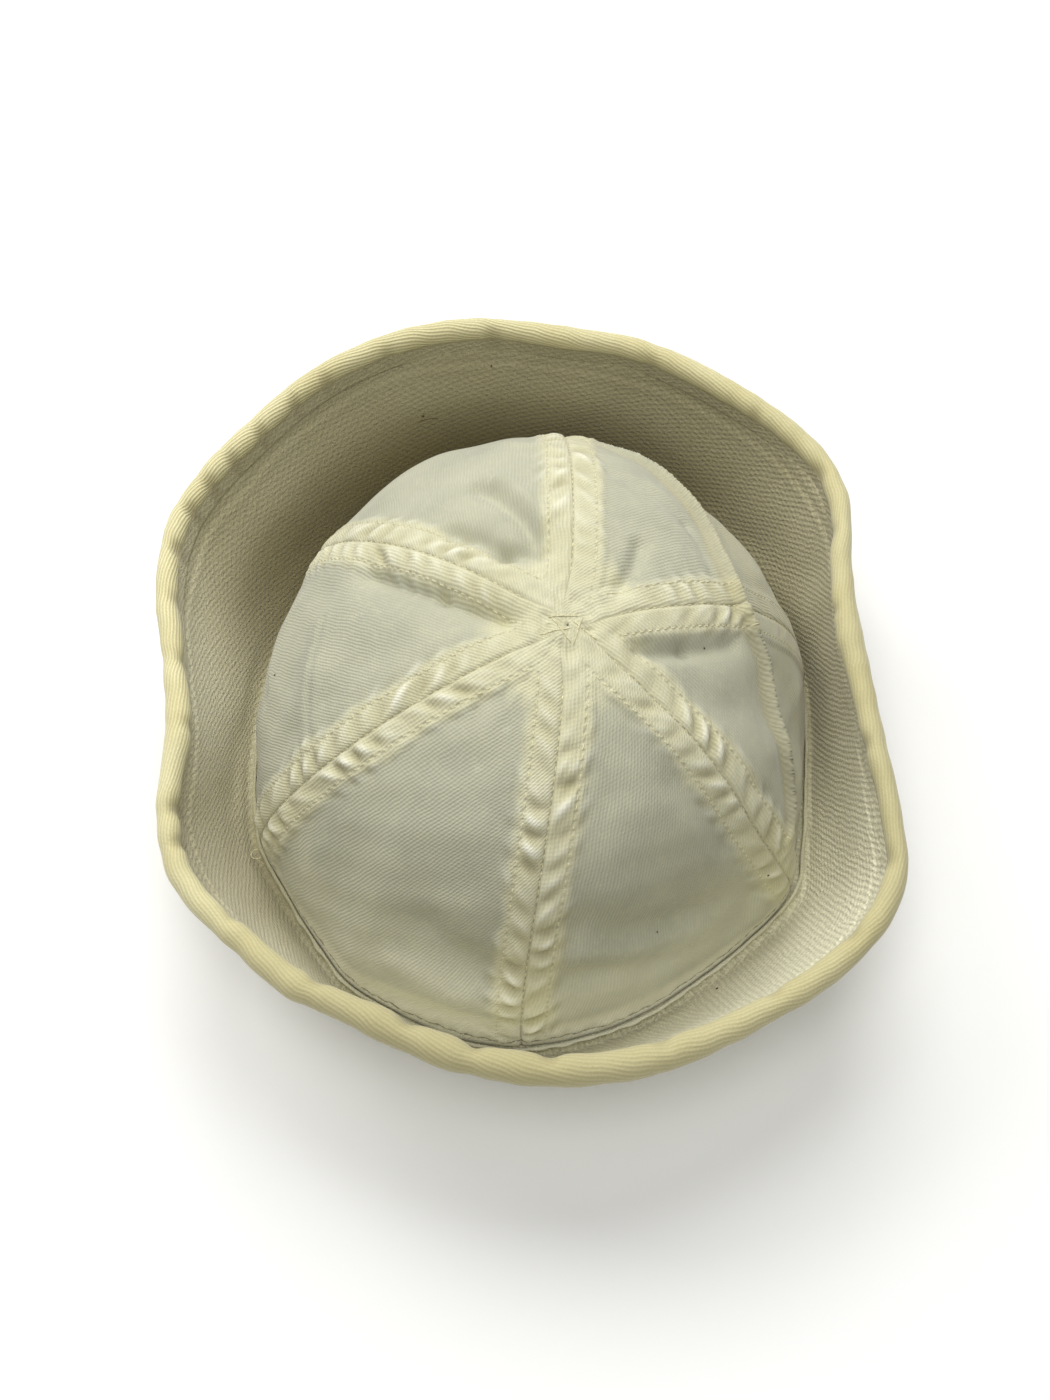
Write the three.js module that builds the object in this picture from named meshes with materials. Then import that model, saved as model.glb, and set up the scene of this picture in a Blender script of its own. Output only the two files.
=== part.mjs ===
import * as THREE from 'three';

// A soft cotton cap: six crown gores joined by pressed-open seams, a brim that is folded
// under the foot of the crown and turned up all round, and a thick rolled rim.
// Millimetres. +Z is up, +Y is the back, and the cap rests on its folded foot at z = 0.
// The origin is under the middle of the rim's outline.

// Driving dimensions
const FOOT_WIDTH = 166;
const FOOT_LENGTH = 191;
const FOOT_ASIDE = 4.7;
const FOOT_FORWARD = 2.2;
const CROWN_HEIGHT = 81;
const STAR_ASIDE = 9;
const STAR_FORWARD = 2;
const STAR_HOLE = 1;
const CROWN_CLOTH = 1.2;
const HEM_HEIGHT = 9;
const HEM_CLOTH = 0.8;
const HEM_EDGE = 2;
const SEAM_WIDTH = 19;
const SEAM_CLOTH = 0.8;
const SEAM_EDGE = 1.4;
const CREASE_LIFT = 2.4;
const CREASE_DIP = 1.4;
const FOLD_DEPTH = 3;
const BRIM_WIDTH = 52;
const BRIM_CLOTH = 2.6;
const BRIM_BOW = 2.5;
const CHANNEL_WIDTH = 4.2;
const FOLD_FLAT = 4.4;
const FOLD_ROUND = 1;
const LIP_HEIGHT = 3;
const LIP_CLOTH = 1.2;
const LIP_LEAN = 0.5;
const ROLL_DIAMETER = 7;
const TAIL_WIDTH = 4;
const TAIL_CLOTH = 1;
const GAP = 0.3;
const SOFT_GAP = 0.5;

// Shares and counts that shape the curves
const DOME_POWER = 2.1;
const SEAM_TAPER = 0.38;
const SEAM_CLEAR = 0.12;
const SEAM_RISE = 0.08;
const FOLD_RISE = 0.1;
const CLOTH_RISE = 1.6;
const CREASE_SPREAD = 5;
const BRIM_FOOT = 0.75;
const BRIM_BELLY = 0.4;
const CHANNEL_FLAT = 0.4;
const SEAM_ROWS_SHORT = 2;
const SETTLING_STEPS = 4;
const GORE_ROWS_BELOW_CREASE = 5;
const GORE_ROWS_ABOVE_CREASE = 9;
const GORE_MIDDLE_COLUMNS = 6;
const RING_SECTIONS = 72;
const BRIM_STEPS = 5;
const ROLL_CORNERS = 9;

// How far the crown's foot reaches out, as a share of a plain ellipse
const FOOT_OUTLINE = [
  { azimuth: 0, reach: 1 },
  { azimuth: 17, reach: 1.015 },
  { azimuth: 45, reach: 1 },
  { azimuth: 85, reach: 1 },
  { azimuth: 142, reach: 1 },
  { azimuth: 175, reach: 1 },
  { azimuth: 196, reach: 1.03 },
  { azimuth: 204, reach: 1.04 },
  { azimuth: 214, reach: 1.02 },
  { azimuth: 226, reach: 1.02 },
  { azimuth: 235, reach: 1.033 },
  { azimuth: 246, reach: 1.015 },
  { azimuth: 262, reach: 1.01 },
  { azimuth: 280, reach: 0.985 },
  { azimuth: 300, reach: 0.978 },
  { azimuth: 313, reach: 1.005 },
  { azimuth: 328, reach: 1.058 },
  { azimuth: 336, reach: 1.03 },
  { azimuth: 348, reach: 1 },
];

// The six seams: azimuth at the foot, and the turn, in degrees, that each has made halfway up
const SEAMS = [
  { azimuth: 17, turn: -1 },
  { azimuth: 84, turn: 1 },
  { azimuth: 140, turn: 3 },
  { azimuth: 203, turn: 3 },
  { azimuth: 268, turn: -1 },
  { azimuth: 328, turn: -7 },
];

// The crease where the right side of the crown folds over: its climb from foot (0) to
// star (1), and how sharp it is. Where sharp is 0 the cloth is smooth.
const CREASE = [
  { azimuth: 0, climb: 0.48, sharp: 1 },
  { azimuth: 10, climb: 0.54, sharp: 1 },
  { azimuth: 20, climb: 0.567, sharp: 1 },
  { azimuth: 35, climb: 0.543, sharp: 1 },
  { azimuth: 47, climb: 0.493, sharp: 1 },
  { azimuth: 56, climb: 0.463, sharp: 1 },
  { azimuth: 66, climb: 0.4, sharp: 0.8 },
  { azimuth: 78, climb: 0.31, sharp: 0.4 },
  { azimuth: 92, climb: 0.32, sharp: 0 },
  { azimuth: 140, climb: 0.42, sharp: 0 },
  { azimuth: 220, climb: 0.42, sharp: 0 },
  { azimuth: 300, climb: 0.42, sharp: 0 },
  { azimuth: 318, climb: 0.36, sharp: 0 },
  { azimuth: 326, climb: 0.26, sharp: 0.3 },
  { azimuth: 333, climb: 0.29, sharp: 0.8 },
  { azimuth: 341, climb: 0.377, sharp: 1 },
  { azimuth: 350, climb: 0.43, sharp: 1 },
];

// Soft folds: each runs from one place to another on the crown. Width is a share of the
// crown's height and depth a share of FOLD_DEPTH, with a ridge where depth is negative.
const FOLDS = [
  { azimuth: 153, climb: 0.54, toAzimuth: 168, toClimb: 0.88, width: 0.07, depth: 0.9 },
  { azimuth: 131, climb: 0.68, toAzimuth: 108, toClimb: 0.84, width: 0.06, depth: 0.4 },
  { azimuth: 167, climb: 0.42, toAzimuth: 197, toClimb: 0.41, width: 0.05, depth: -0.3 },
  { azimuth: 247, climb: 0.34, toAzimuth: 262, toClimb: 0.28, width: 0.07, depth: 0.6 },
  { azimuth: 244, climb: 0.21, toAzimuth: 263, toClimb: 0.2, width: 0.07, depth: -0.6 },
  { azimuth: 278, climb: 0.4, toAzimuth: 316, toClimb: 0.18, width: 0.08, depth: 0.9 },
  { azimuth: 278, climb: 0.33, toAzimuth: 312, toClimb: 0.2, width: 0.05, depth: -0.4 },
  { azimuth: 276, climb: 0.27, toAzimuth: 312, toClimb: 0.12, width: 0.06, depth: 0.6 },
  { azimuth: 345, climb: 0.84, toAzimuth: 2, toClimb: 0.6, width: 0.06, depth: 0.4 },
  { azimuth: 329, climb: 0.78, toAzimuth: 346, toClimb: 0.48, width: 0.08, depth: 0.4 },
  { azimuth: 310, climb: 0.62, toAzimuth: 315, toClimb: 0.42, width: 0.07, depth: 0.6 },
];

// The brim's lean outwards, as a share of its width, and the roll's thickness, as a
// share of ROLL_DIAMETER, round the rim
const RIM = [
  { azimuth: 0, lean: 0.09, roll: 1 },
  { azimuth: 12, lean: 0.055, roll: 1 },
  { azimuth: 22, lean: 0.13, roll: 1 },
  { azimuth: 32, lean: 0.31, roll: 1 },
  { azimuth: 41, lean: 0.385, roll: 1 },
  { azimuth: 58, lean: 0.33, roll: 1 },
  { azimuth: 75, lean: 0.325, roll: 1 },
  { azimuth: 86, lean: 0.31, roll: 1 },
  { azimuth: 100, lean: 0.435, roll: 1 },
  { azimuth: 118, lean: 0.53, roll: 1 },
  { azimuth: 135, lean: 0.52, roll: 1 },
  { azimuth: 152, lean: 0.57, roll: 1 },
  { azimuth: 163, lean: 0.47, roll: 1 },
  { azimuth: 175, lean: 0.325, roll: 1 },
  { azimuth: 190, lean: 0.23, roll: 1 },
  { azimuth: 203, lean: 0.335, roll: 1 },
  { azimuth: 213, lean: 0.41, roll: 1 },
  { azimuth: 228, lean: 0.305, roll: 1.05 },
  { azimuth: 245, lean: 0.22, roll: 1.2 },
  { azimuth: 262, lean: 0.25, roll: 1.3 },
  { azimuth: 280, lean: 0.34, roll: 1.25 },
  { azimuth: 300, lean: 0.41, roll: 1.1 },
  { azimuth: 317, lean: 0.458, roll: 1 },
  { azimuth: 330, lean: 0.38, roll: 1 },
  { azimuth: 345, lean: 0.205, roll: 1 },
];

const FOOT_BASE = BRIM_CLOTH + GAP + SOFT_GAP;
const FULL_TURN = 360;

function radians(degrees) {
  return (degrees * Math.PI) / 180;
}

// A smooth closed curve through one column of a table, read at an azimuth
function around(table, column, azimuth) {
  const count = table.length;
  const turned = ((azimuth % FULL_TURN) + FULL_TURN) % FULL_TURN;
  let index = count - 1;
  while (index > 0 && table[index].azimuth > turned) index -= 1;
  const rows = [-1, 0, 1, 2].map((step) => {
    const place = index + step;
    const lap = Math.floor(place / count);
    const row = table[place - lap * count];
    return { at: row.azimuth + lap * FULL_TURN, value: row[column] };
  });
  const span = rows[2].at - rows[1].at;
  const share = (turned - rows[1].at) / span;
  const slopeIn = ((rows[2].value - rows[0].value) / (rows[2].at - rows[0].at)) * span;
  const slopeOut = ((rows[3].value - rows[1].value) / (rows[3].at - rows[1].at)) * span;
  const square = share * share;
  const cube = square * share;
  return (2 * cube - 3 * square + 1) * rows[1].value
    + (cube - 2 * square + share) * slopeIn
    + (3 * square - 2 * cube) * rows[2].value
    + (cube - square) * slopeOut;
}

function azimuthBetween(azimuth, from) {
  const turned = (((azimuth - from) % FULL_TURN) + FULL_TURN) % FULL_TURN;
  return turned > FULL_TURN / 2 ? turned - FULL_TURN : turned;
}

// The foot of the crown, as a distance from its centre
function footRadius(azimuth, climb = 0) {
  const across = (FOOT_LENGTH / 2) * Math.cos(radians(azimuth));
  const along = (FOOT_WIDTH / 2) * Math.sin(radians(azimuth));
  const ellipse = (FOOT_WIDTH * FOOT_LENGTH) / 4 / Math.hypot(across, along);
  return ellipse * (1 + (around(FOOT_OUTLINE, 'reach', azimuth) - 1) * (1 - climb));
}

function domeRadius(azimuth, climb) {
  const angle = (climb * Math.PI) / 2;
  return footRadius(azimuth, climb) * Math.max(Math.cos(angle), 0) ** (2 / DOME_POWER);
}

function placed(radius, azimuth, height, aside = 0, forward = 0) {
  return new THREE.Vector3(
    FOOT_ASIDE + aside + radius * Math.cos(radians(azimuth)),
    -FOOT_FORWARD - forward + radius * Math.sin(radians(azimuth)),
    height,
  );
}

// The smooth dome, before seams, creases and folds
function domePoint(azimuth, climb) {
  const rise = Math.sin((climb * Math.PI) / 2) ** (2 / DOME_POWER);
  const drift = rise * rise;
  return placed(
    domeRadius(azimuth, climb),
    azimuth,
    FOOT_BASE + CROWN_HEIGHT * rise,
    STAR_ASIDE * drift,
    STAR_FORWARD * drift,
  );
}

function domeNormal(azimuth, climb) {
  const step = 0.004;
  const low = Math.max(climb - step, step / 4);
  const high = Math.min(climb + step, 1 - step / 4);
  const sideways = domePoint(azimuth + 1, climb).sub(domePoint(azimuth - 1, climb));
  const upwards = domePoint(azimuth, high).sub(domePoint(azimuth, low));
  return sideways.cross(upwards).normalize();
}

function seamAzimuth(seam, climb) {
  return seam.azimuth + seam.turn * Math.sin(Math.min(climb * Math.PI, Math.PI / 2));
}

// Half the width of a pressed-open seam, which narrows to a point at the star
function seamHalfWidth(azimuth, climb) {
  return Math.min(SEAM_WIDTH / 2, SEAM_TAPER * domeRadius(azimuth, climb));
}

// The seam allowances below push the gores' edges up, with a shallow groove between
function seamLift(azimuth, climb) {
  const distances = SEAMS.map((seam) => {
    const turn = azimuthBetween(azimuth, seamAzimuth(seam, climb));
    return Math.abs(radians(turn)) * domeRadius(azimuth, climb);
  });
  const distance = Math.min(...distances);
  const flat = seamHalfWidth(azimuth, climb);
  const edge = Math.min(SEAM_EDGE, flat * SEAM_CLEAR);
  const spread = 1 - THREE.MathUtils.smoothstep(distance, flat, flat + edge);
  return (SEAM_CLOTH + SOFT_GAP) * spread * Math.min(1, climb / SEAM_RISE);
}

// The crease is a sharp ridge: the cloth falls off slowly below it and quickly above
function creaseLift(azimuth, climb) {
  const sharp = THREE.MathUtils.clamp(around(CREASE, 'sharp', azimuth), 0, 1);
  const above = (climb - around(CREASE, 'climb', azimuth)) * CROWN_HEIGHT * CLOTH_RISE;
  const slow = Math.exp(-Math.abs(above) / (CREASE_LIFT * CREASE_SPREAD));
  const quick = Math.exp(-Math.abs(above) / CREASE_LIFT);
  if (above < 0) return sharp * CREASE_LIFT * slow;
  return sharp * (CREASE_LIFT * quick - CREASE_DIP * (slow - quick));
}

function foldLift(azimuth, climb) {
  const reach = domeRadius(azimuth, climb);
  const tall = CROWN_HEIGHT * CLOTH_RISE;
  let lift = 0;
  for (const fold of FOLDS) {
    const x = radians(azimuthBetween(azimuth, fold.azimuth)) * reach;
    const y = (climb - fold.climb) * tall;
    const length = radians(azimuthBetween(fold.toAzimuth, fold.azimuth)) * reach;
    const height = (fold.toClimb - fold.climb) * tall;
    const along = (x * length + y * height) / (length * length + height * height);
    const nearest = THREE.MathUtils.clamp(along, 0, 1);
    const away = Math.hypot(x - nearest * length, y - nearest * height);
    lift -= FOLD_DEPTH * fold.depth * Math.exp(-((away / (fold.width * CROWN_HEIGHT)) ** 2));
  }
  return lift * Math.min(1, climb / FOLD_RISE);
}

// A point on or under the crown's outer face
function crownPoint(azimuth, climb, depth) {
  const lift = seamLift(azimuth, climb) + creaseLift(azimuth, climb) + foldLift(azimuth, climb);
  return domePoint(azimuth, climb).addScaledVector(domeNormal(azimuth, climb), lift - depth);
}

// A closed solid between two facing grids of points, rows by columns
function panelGeometry(outer, inner) {
  const rows = outer.length;
  const columns = outer[0].length;
  const positions = [...outer.flat(), ...inner.flat()].flatMap((point) => point.toArray());
  const under = rows * columns;
  const at = (row, column) => row * columns + column;
  const index = [];
  const quad = (a, b, c, d) => index.push(a, b, c, a, c, d);
  for (let row = 0; row < rows - 1; row += 1) {
    for (let column = 0; column < columns - 1; column += 1) {
      const [left, right] = [at(row, column), at(row, column + 1)];
      const [overRight, overLeft] = [at(row + 1, column + 1), at(row + 1, column)];
      quad(left, right, overRight, overLeft);
      quad(left + under, overLeft + under, overRight + under, right + under);
    }
  }
  for (let column = 0; column < columns - 1; column += 1) {
    const [low, next] = [at(0, column), at(0, column + 1)];
    const [high, after] = [at(rows - 1, column), at(rows - 1, column + 1)];
    quad(low + under, next + under, next, low);
    quad(high, after, after + under, high + under);
  }
  for (let row = 0; row < rows - 1; row += 1) {
    const [left, above] = [at(row, 0), at(row + 1, 0)];
    const [right, over] = [at(row, columns - 1), at(row + 1, columns - 1)];
    quad(left, above, above + under, left + under);
    quad(right + under, over + under, over, right);
  }
  const geometry = new THREE.BufferGeometry();
  geometry.setAttribute('position', new THREE.Float32BufferAttribute(positions, 3));
  geometry.setIndex(index);
  geometry.computeVertexNormals();
  return geometry;
}

// A closed ring: one outline, listed counter-clockwise seen with the crown on the left,
// at each of the sections round the cap
function ringGeometry(outlineAt) {
  const sections = Array.from({ length: RING_SECTIONS }, (_, section) => {
    const azimuth = (section * FULL_TURN) / RING_SECTIONS;
    return outlineAt(azimuth).map(([reach, height]) => placed(reach, azimuth, height));
  });
  const corners = sections[0].length;
  const index = [];
  for (let section = 0; section < RING_SECTIONS; section += 1) {
    for (let corner = 0; corner < corners; corner += 1) {
      const here = section * corners;
      const next = ((section + 1) % RING_SECTIONS) * corners;
      const up = (corner + 1) % corners;
      index.push(here + corner, next + corner, next + up);
      index.push(here + corner, next + up, here + up);
    }
  }
  const geometry = new THREE.BufferGeometry();
  const positions = sections.flat().flatMap((point) => point.toArray());
  geometry.setAttribute('position', new THREE.Float32BufferAttribute(positions, 3));
  geometry.setIndex(index);
  geometry.computeVertexNormals();
  return geometry;
}

// Climbs of a gore's rows at one azimuth: one row always lies on the crease
function climbOfRow(azimuth, row) {
  const crease = around(CREASE, 'climb', azimuth);
  if (row < GORE_ROWS_BELOW_CREASE) return (crease * row) / GORE_ROWS_BELOW_CREASE;
  const share = (row - GORE_ROWS_BELOW_CREASE) / GORE_ROWS_ABOVE_CREASE;
  return crease + (starClimb() - crease) * share;
}

function starClimb() {
  const share = STAR_HOLE / (FOOT_WIDTH / 2);
  return (Math.acos(share ** (DOME_POWER / 2)) * 2) / Math.PI;
}

// Azimuths of a gore's columns at one climb, closer together over the seam allowances
function columnAzimuths(gore, climb) {
  const from = seamAzimuth(gore.left, climb);
  const to = from + azimuthBetween(seamAzimuth(gore.right, climb), from);
  const middle = (from + to) / 2;
  const radius = domeRadius(middle, climb);
  const flat = seamHalfWidth(middle, climb);
  const steps = [GAP / 2, flat / 2, flat, flat + Math.min(SEAM_EDGE, flat * SEAM_CLEAR)];
  const edge = steps.map((step) => (step / radius) * (180 / Math.PI));
  const inner = edge[edge.length - 1];
  const azimuths = edge.map((turn) => from + turn);
  for (let column = 1; column < GORE_MIDDLE_COLUMNS; column += 1) {
    azimuths.push(from + inner + ((to - from - 2 * inner) * column) / GORE_MIDDLE_COLUMNS);
  }
  return [...azimuths, ...edge.reverse().map((turn) => to - turn)];
}

// Azimuth and climb of one crossing of a gore's rows and columns. The climb of a row
// depends on the azimuth and the azimuth of a column on the climb, so it settles in steps.
function crossing(gore, row, column) {
  let climb = climbOfRow(gore.left.azimuth, row);
  let azimuth = gore.left.azimuth;
  for (let step = 0; step < SETTLING_STEPS; step += 1) {
    azimuth = columnAzimuths(gore, climb)[column];
    climb = climbOfRow(azimuth, row);
  }
  return { azimuth, climb };
}

function hemDepth(climb) {
  const height = CROWN_HEIGHT * Math.sin((climb * Math.PI) / 2) ** (2 / DOME_POWER);
  return HEM_CLOTH * (1 - THREE.MathUtils.smoothstep(height, HEM_HEIGHT - HEM_EDGE, HEM_HEIGHT));
}

// One gore of crown cloth, doubled at its foot by the turned-up hem
function goreGeometry(gore) {
  const grid = (depthAt) => gore.crossings.map((row) => row.map(({ azimuth, climb }) => (
    crownPoint(azimuth, climb, depthAt(climb))
  )));
  return panelGeometry(grid(() => 0), grid((climb) => CROWN_CLOTH + hemDepth(climb)));
}

// The two allowances of the seam between two gores, pressed open under their edges
function seamGeometry(before, after) {
  const rows = before.crossings
    .map((row, number) => {
      const [flat, half, edge] = row.slice(-3);
      const [nextEdge, nextHalf, nextFlat] = after.crossings[number];
      const centre = {
        azimuth: edge.azimuth + azimuthBetween(nextEdge.azimuth, edge.azimuth) / 2,
        climb: (edge.climb + nextEdge.climb) / 2,
      };
      return [flat, half, centre, nextHalf, nextFlat];
    })
    .slice(0, -SEAM_ROWS_SHORT)
    .filter((row) => row.every(({ climb }) => hemDepth(climb) === 0));
  const grid = (depth) => rows.map((row) => row.map(({ azimuth, climb }) => (
    crownPoint(azimuth, climb, depth)
  )));
  const top = CROWN_CLOTH + SOFT_GAP;
  return panelGeometry(grid(top), grid(top + SEAM_CLOTH));
}

// The brim's middle line at one azimuth, from the folded foot to the middle of the roll
function brimLine(azimuth) {
  const lean = around(RIM, 'lean', azimuth);
  const foot = footRadius(azimuth) + CHANNEL_WIDTH;
  const base = BRIM_CLOTH * BRIM_FOOT;
  const start = new THREE.Vector2(foot, base);
  const slope = new THREE.Vector2(lean, Math.sqrt(1 - lean * lean));
  const end = start.clone().addScaledVector(slope, BRIM_WIDTH);
  const outwards = new THREE.Vector2(slope.y, -slope.x);
  const middle = start.clone().lerp(end, BRIM_BELLY).addScaledVector(outwards, BRIM_BOW);
  const roll = (ROLL_DIAMETER / 2) * around(RIM, 'roll', azimuth);
  return { curve: new THREE.QuadraticBezierCurve(start, middle, end), end, roll };
}

function brimOutline(azimuth) {
  const { curve, roll } = brimLine(azimuth);
  const foot = footRadius(azimuth);
  const last = 1 - (roll + GAP) / BRIM_WIDTH;
  const under = [];
  const upper = [];
  for (let step = 0; step <= BRIM_STEPS; step += 1) {
    const share = (last * step) / BRIM_STEPS;
    const point = curve.getPoint(share);
    const tangent = curve.getTangent(share);
    const towardsCrown = new THREE.Vector2(-tangent.y, tangent.x).multiplyScalar(BRIM_CLOTH / 2);
    under.push(point.clone().sub(towardsCrown).toArray());
    upper.push(point.clone().add(towardsCrown).toArray());
  }
  const inside = foot - CROWN_CLOTH - HEM_CLOTH;
  const top = FOOT_BASE - GAP;
  return [
    [inside, top],
    [inside, FOLD_ROUND],
    [inside + FOLD_ROUND, 0],
    [inside + FOLD_ROUND + FOLD_FLAT, 0],
    ...under,
    ...upper.reverse(),
    [foot + CHANNEL_WIDTH * CHANNEL_FLAT, BRIM_CLOTH],
    [foot + GAP, top],
  ];
}

// The thin folded lip that stands outside the crown's foot
function lipOutline(azimuth) {
  const inner = footRadius(azimuth) + SOFT_GAP;
  const outer = inner + LIP_CLOTH;
  const top = FOOT_BASE + LIP_HEIGHT;
  return [
    [inner, FOOT_BASE],
    [outer, FOOT_BASE],
    [outer + LIP_LEAN, top],
    [inner + LIP_LEAN, top],
  ];
}

// The rolled rim, with the flat tail that is stitched down inside the brim
function rollOutline(azimuth) {
  const { curve, end, roll } = brimLine(azimuth);
  const upwards = curve.getTangent(1);
  const towardsCrown = new THREE.Vector2(-upwards.y, upwards.x);
  const at = (along, across) => end.clone()
    .addScaledVector(upwards, along)
    .addScaledVector(towardsCrown, across)
    .toArray();
  const tailUnder = BRIM_CLOTH / 2 + GAP;
  const tailOver = tailUnder + TAIL_CLOTH;
  const tailEnd = -roll - TAIL_WIDTH;
  const from = Math.atan2(-Math.sqrt(roll * roll - tailUnder * tailUnder), tailUnder);
  const to = Math.atan2(-Math.sqrt(roll * roll - tailOver * tailOver), tailOver);
  const outline = [];
  for (let corner = 0; corner < ROLL_CORNERS; corner += 1) {
    const sweep = from - (corner / (ROLL_CORNERS - 1)) * (2 * Math.PI - (to - from));
    outline.push(at(roll * Math.sin(sweep), roll * Math.cos(sweep)));
  }
  return [at(tailEnd, tailOver), at(tailEnd, tailUnder), ...outline];
}

const COLOURS = {
  gore: 0xd6d6c4,
  seam: 0xe2dfc0,
  brim: 0xc9c29c,
  rim: 0xd8d0a4,
};

function clothMesh(name, geometry, color) {
  const material = new THREE.MeshStandardMaterial({ color, roughness: 0.9, metalness: 0 });
  const mesh = new THREE.Mesh(geometry, material);
  mesh.name = name;
  return mesh;
}

const gores = SEAMS.map((left, number) => {
  const gore = { left, right: SEAMS[(number + 1) % SEAMS.length] };
  const rowCount = GORE_ROWS_BELOW_CREASE + GORE_ROWS_ABOVE_CREASE + 1;
  const columnCount = columnAzimuths(gore, 0).length;
  gore.crossings = Array.from({ length: rowCount }, (_, row) => (
    Array.from({ length: columnCount }, (__, column) => crossing(gore, row, column))
  ));
  return gore;
});

const cap = new THREE.Group();
gores.forEach((gore, number) => {
  const before = gores[(number + gores.length - 1) % gores.length];
  cap.add(clothMesh(`gore_${number + 1}`, goreGeometry(gore), COLOURS.gore));
  cap.add(clothMesh(`seam_${number + 1}`, seamGeometry(before, gore), COLOURS.seam));
});
cap.add(clothMesh('foot_lip', ringGeometry(lipOutline), COLOURS.seam));
cap.add(clothMesh('brim', ringGeometry(brimOutline), COLOURS.brim));
cap.add(clothMesh('rolled_rim', ringGeometry(rollOutline), COLOURS.rim));

export default cap;
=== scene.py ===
# A soft cotton cap seen from above its front: the looks of its cloth, seams and rolled rim
import math

import bpy
import numpy as np
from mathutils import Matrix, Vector


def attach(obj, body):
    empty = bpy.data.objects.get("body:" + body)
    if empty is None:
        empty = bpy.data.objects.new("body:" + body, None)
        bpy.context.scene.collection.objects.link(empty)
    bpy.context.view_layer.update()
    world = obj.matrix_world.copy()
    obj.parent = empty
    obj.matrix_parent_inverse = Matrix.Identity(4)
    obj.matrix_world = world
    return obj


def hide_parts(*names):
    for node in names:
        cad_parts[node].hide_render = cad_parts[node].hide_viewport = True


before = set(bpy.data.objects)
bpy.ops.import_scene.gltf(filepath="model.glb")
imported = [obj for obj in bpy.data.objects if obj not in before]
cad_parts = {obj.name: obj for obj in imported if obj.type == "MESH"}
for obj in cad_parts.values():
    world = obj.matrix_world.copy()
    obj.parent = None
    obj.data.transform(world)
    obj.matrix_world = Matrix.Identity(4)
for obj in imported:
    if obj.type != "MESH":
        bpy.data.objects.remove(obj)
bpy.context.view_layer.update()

MM = 0.001

# Sizes in millimetres, named as in the part's source
FOOT_WIDTH = 166
FOOT_LENGTH = 191
FOOT_ASIDE = 4.7
FOOT_FORWARD = 2.2
CROWN_HEIGHT = 81
STAR_ASIDE = 9
STAR_FORWARD = 2
CROWN_CLOTH = 1.2
HEM_HEIGHT = 9
HEM_CLOTH = 0.8
SEAM_WIDTH = 19
SEAM_CLOTH = 0.8
CREASE_LIFT = 2.4
FOLD_DEPTH = 3
BRIM_WIDTH = 52
BRIM_CLOTH = 2.6
BRIM_BOW = 2.5
CHANNEL_WIDTH = 4.2
FOLD_FLAT = 4.4
FOLD_ROUND = 1
LIP_HEIGHT = 3
LIP_CLOTH = 1.2
LIP_LEAN = 0.5
ROLL_DIAMETER = 7
TAIL_WIDTH = 4
TAIL_CLOTH = 1
GAP = 0.3
SOFT_GAP = 0.5
FOOT_BASE = BRIM_CLOTH + GAP + SOFT_GAP

# Shares that shape the curves
DOME_POWER = 2.1
SEAM_TAPER = 0.38
SEAM_RISE = 0.08
FOLD_RISE = 0.1
CLOTH_RISE = 1.6
CREASE_SPREAD = 5
CREASE_QUICK = 0.4
BRIM_FOOT = 0.75
BRIM_BELLY = 0.4
CHANNEL_FLAT = 0.4
STRIP_TOP = 0.93

# The length of cloth from the crown's foot to the star, in millimetres
CROWN_SLOPE = CROWN_HEIGHT * CLOTH_RISE

# Sizes of the fine detail, in millimetres. STAR_HOLE and CREASE_DIP have other values in the
# part's source, because the fine surface runs closer to the star and dips deeper at the crease
STAR_HOLE = 0.3
CREASE_DIP = 2
CREASE_ROUND = 5
CREASE_UNDER = 5
CREASE_FADE = 60
SEAM_GROOVE = 0.5
GROOVE_WIDTH = 0.7
GROOVE_START = (2, 18)
SEAM_PARTING = 0.35
HEM_STEP = 0.8
TAIL_SINK = 0.85
BAND_LIFT = 0.6
BAND_EDGE = 2.4
PUCKER_LENGTH = 8.8
PUCKER_SLANT = 0.4
PUCKER_HEIGHT = 1.5
PUCKER_SHARP = 1.2
PUCKER_START = (12, 40)
STAR_PIT = 0.6
STAR_CURL = 8
HEM_PUCKER = 0.35
HEM_DIP = 0.3
EDGE_STITCH = 6.8
HEM_STITCH = 4.6
STITCH_PITCH = 2.4
STITCH_LENGTH = 1.7
THREAD = 0.34
STITCH_ARCH = (0.12, 0.02, -0.06, 0.02, 0.12)
THREAD_SIDES = 6
FIBRE_RISE = 0.1

# How many rows and columns the fine surfaces have
GORE_ROWS = 170
GORE_COLUMNS = 120
RING_SECTIONS = 640
BRIM_POINTS = 118
ROLL_POINTS = 60
LIP_POINTS = 24
STRIP_COLUMNS = 25
WALL_STEPS = 40

# The warmer tone of doubled cloth: where it fades out, in millimetres, and its strength
CREAM_INSIDE = 2.6
CREAM_OUTSIDE = 1.8
STAR_CREAM = (17, 24)
STRIP_CREAM = 0.75

# The same for the hem, as a climb
HEM_FADE = 0.02

# How far the hem's stitched line wavers
HEM_WAVER = 2.4

# Climbs between which the seams show their stitches
STITCHES_FROM = 0.1
STITCHES_TO = 0.9

# Radii of the rings on which smooth noise is read, and its rise round the roll
BRIM_RING = 110
RIM_RING = 115
RIM_RISE = 9
LIP_RING = 95

# Lengths of cloth once round a section of the brim, the roll and the lip
BRIM_SECTION = 118
ROLL_SECTION = 30
LIP_SECTION = 9

# The stretch of brim behind the crown, with painted shade low on its inner face, in degrees
BACK_MIDDLE = 115
BACK_SPREAD = 58

# Where the roll's ribs show most, in degrees
RIB_MIDDLE = 130
RIB_SPREAD = 55

# How far apart the gores' cloth lies in the noise, so that no two look alike
GORE_STEP = 40.0
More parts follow.
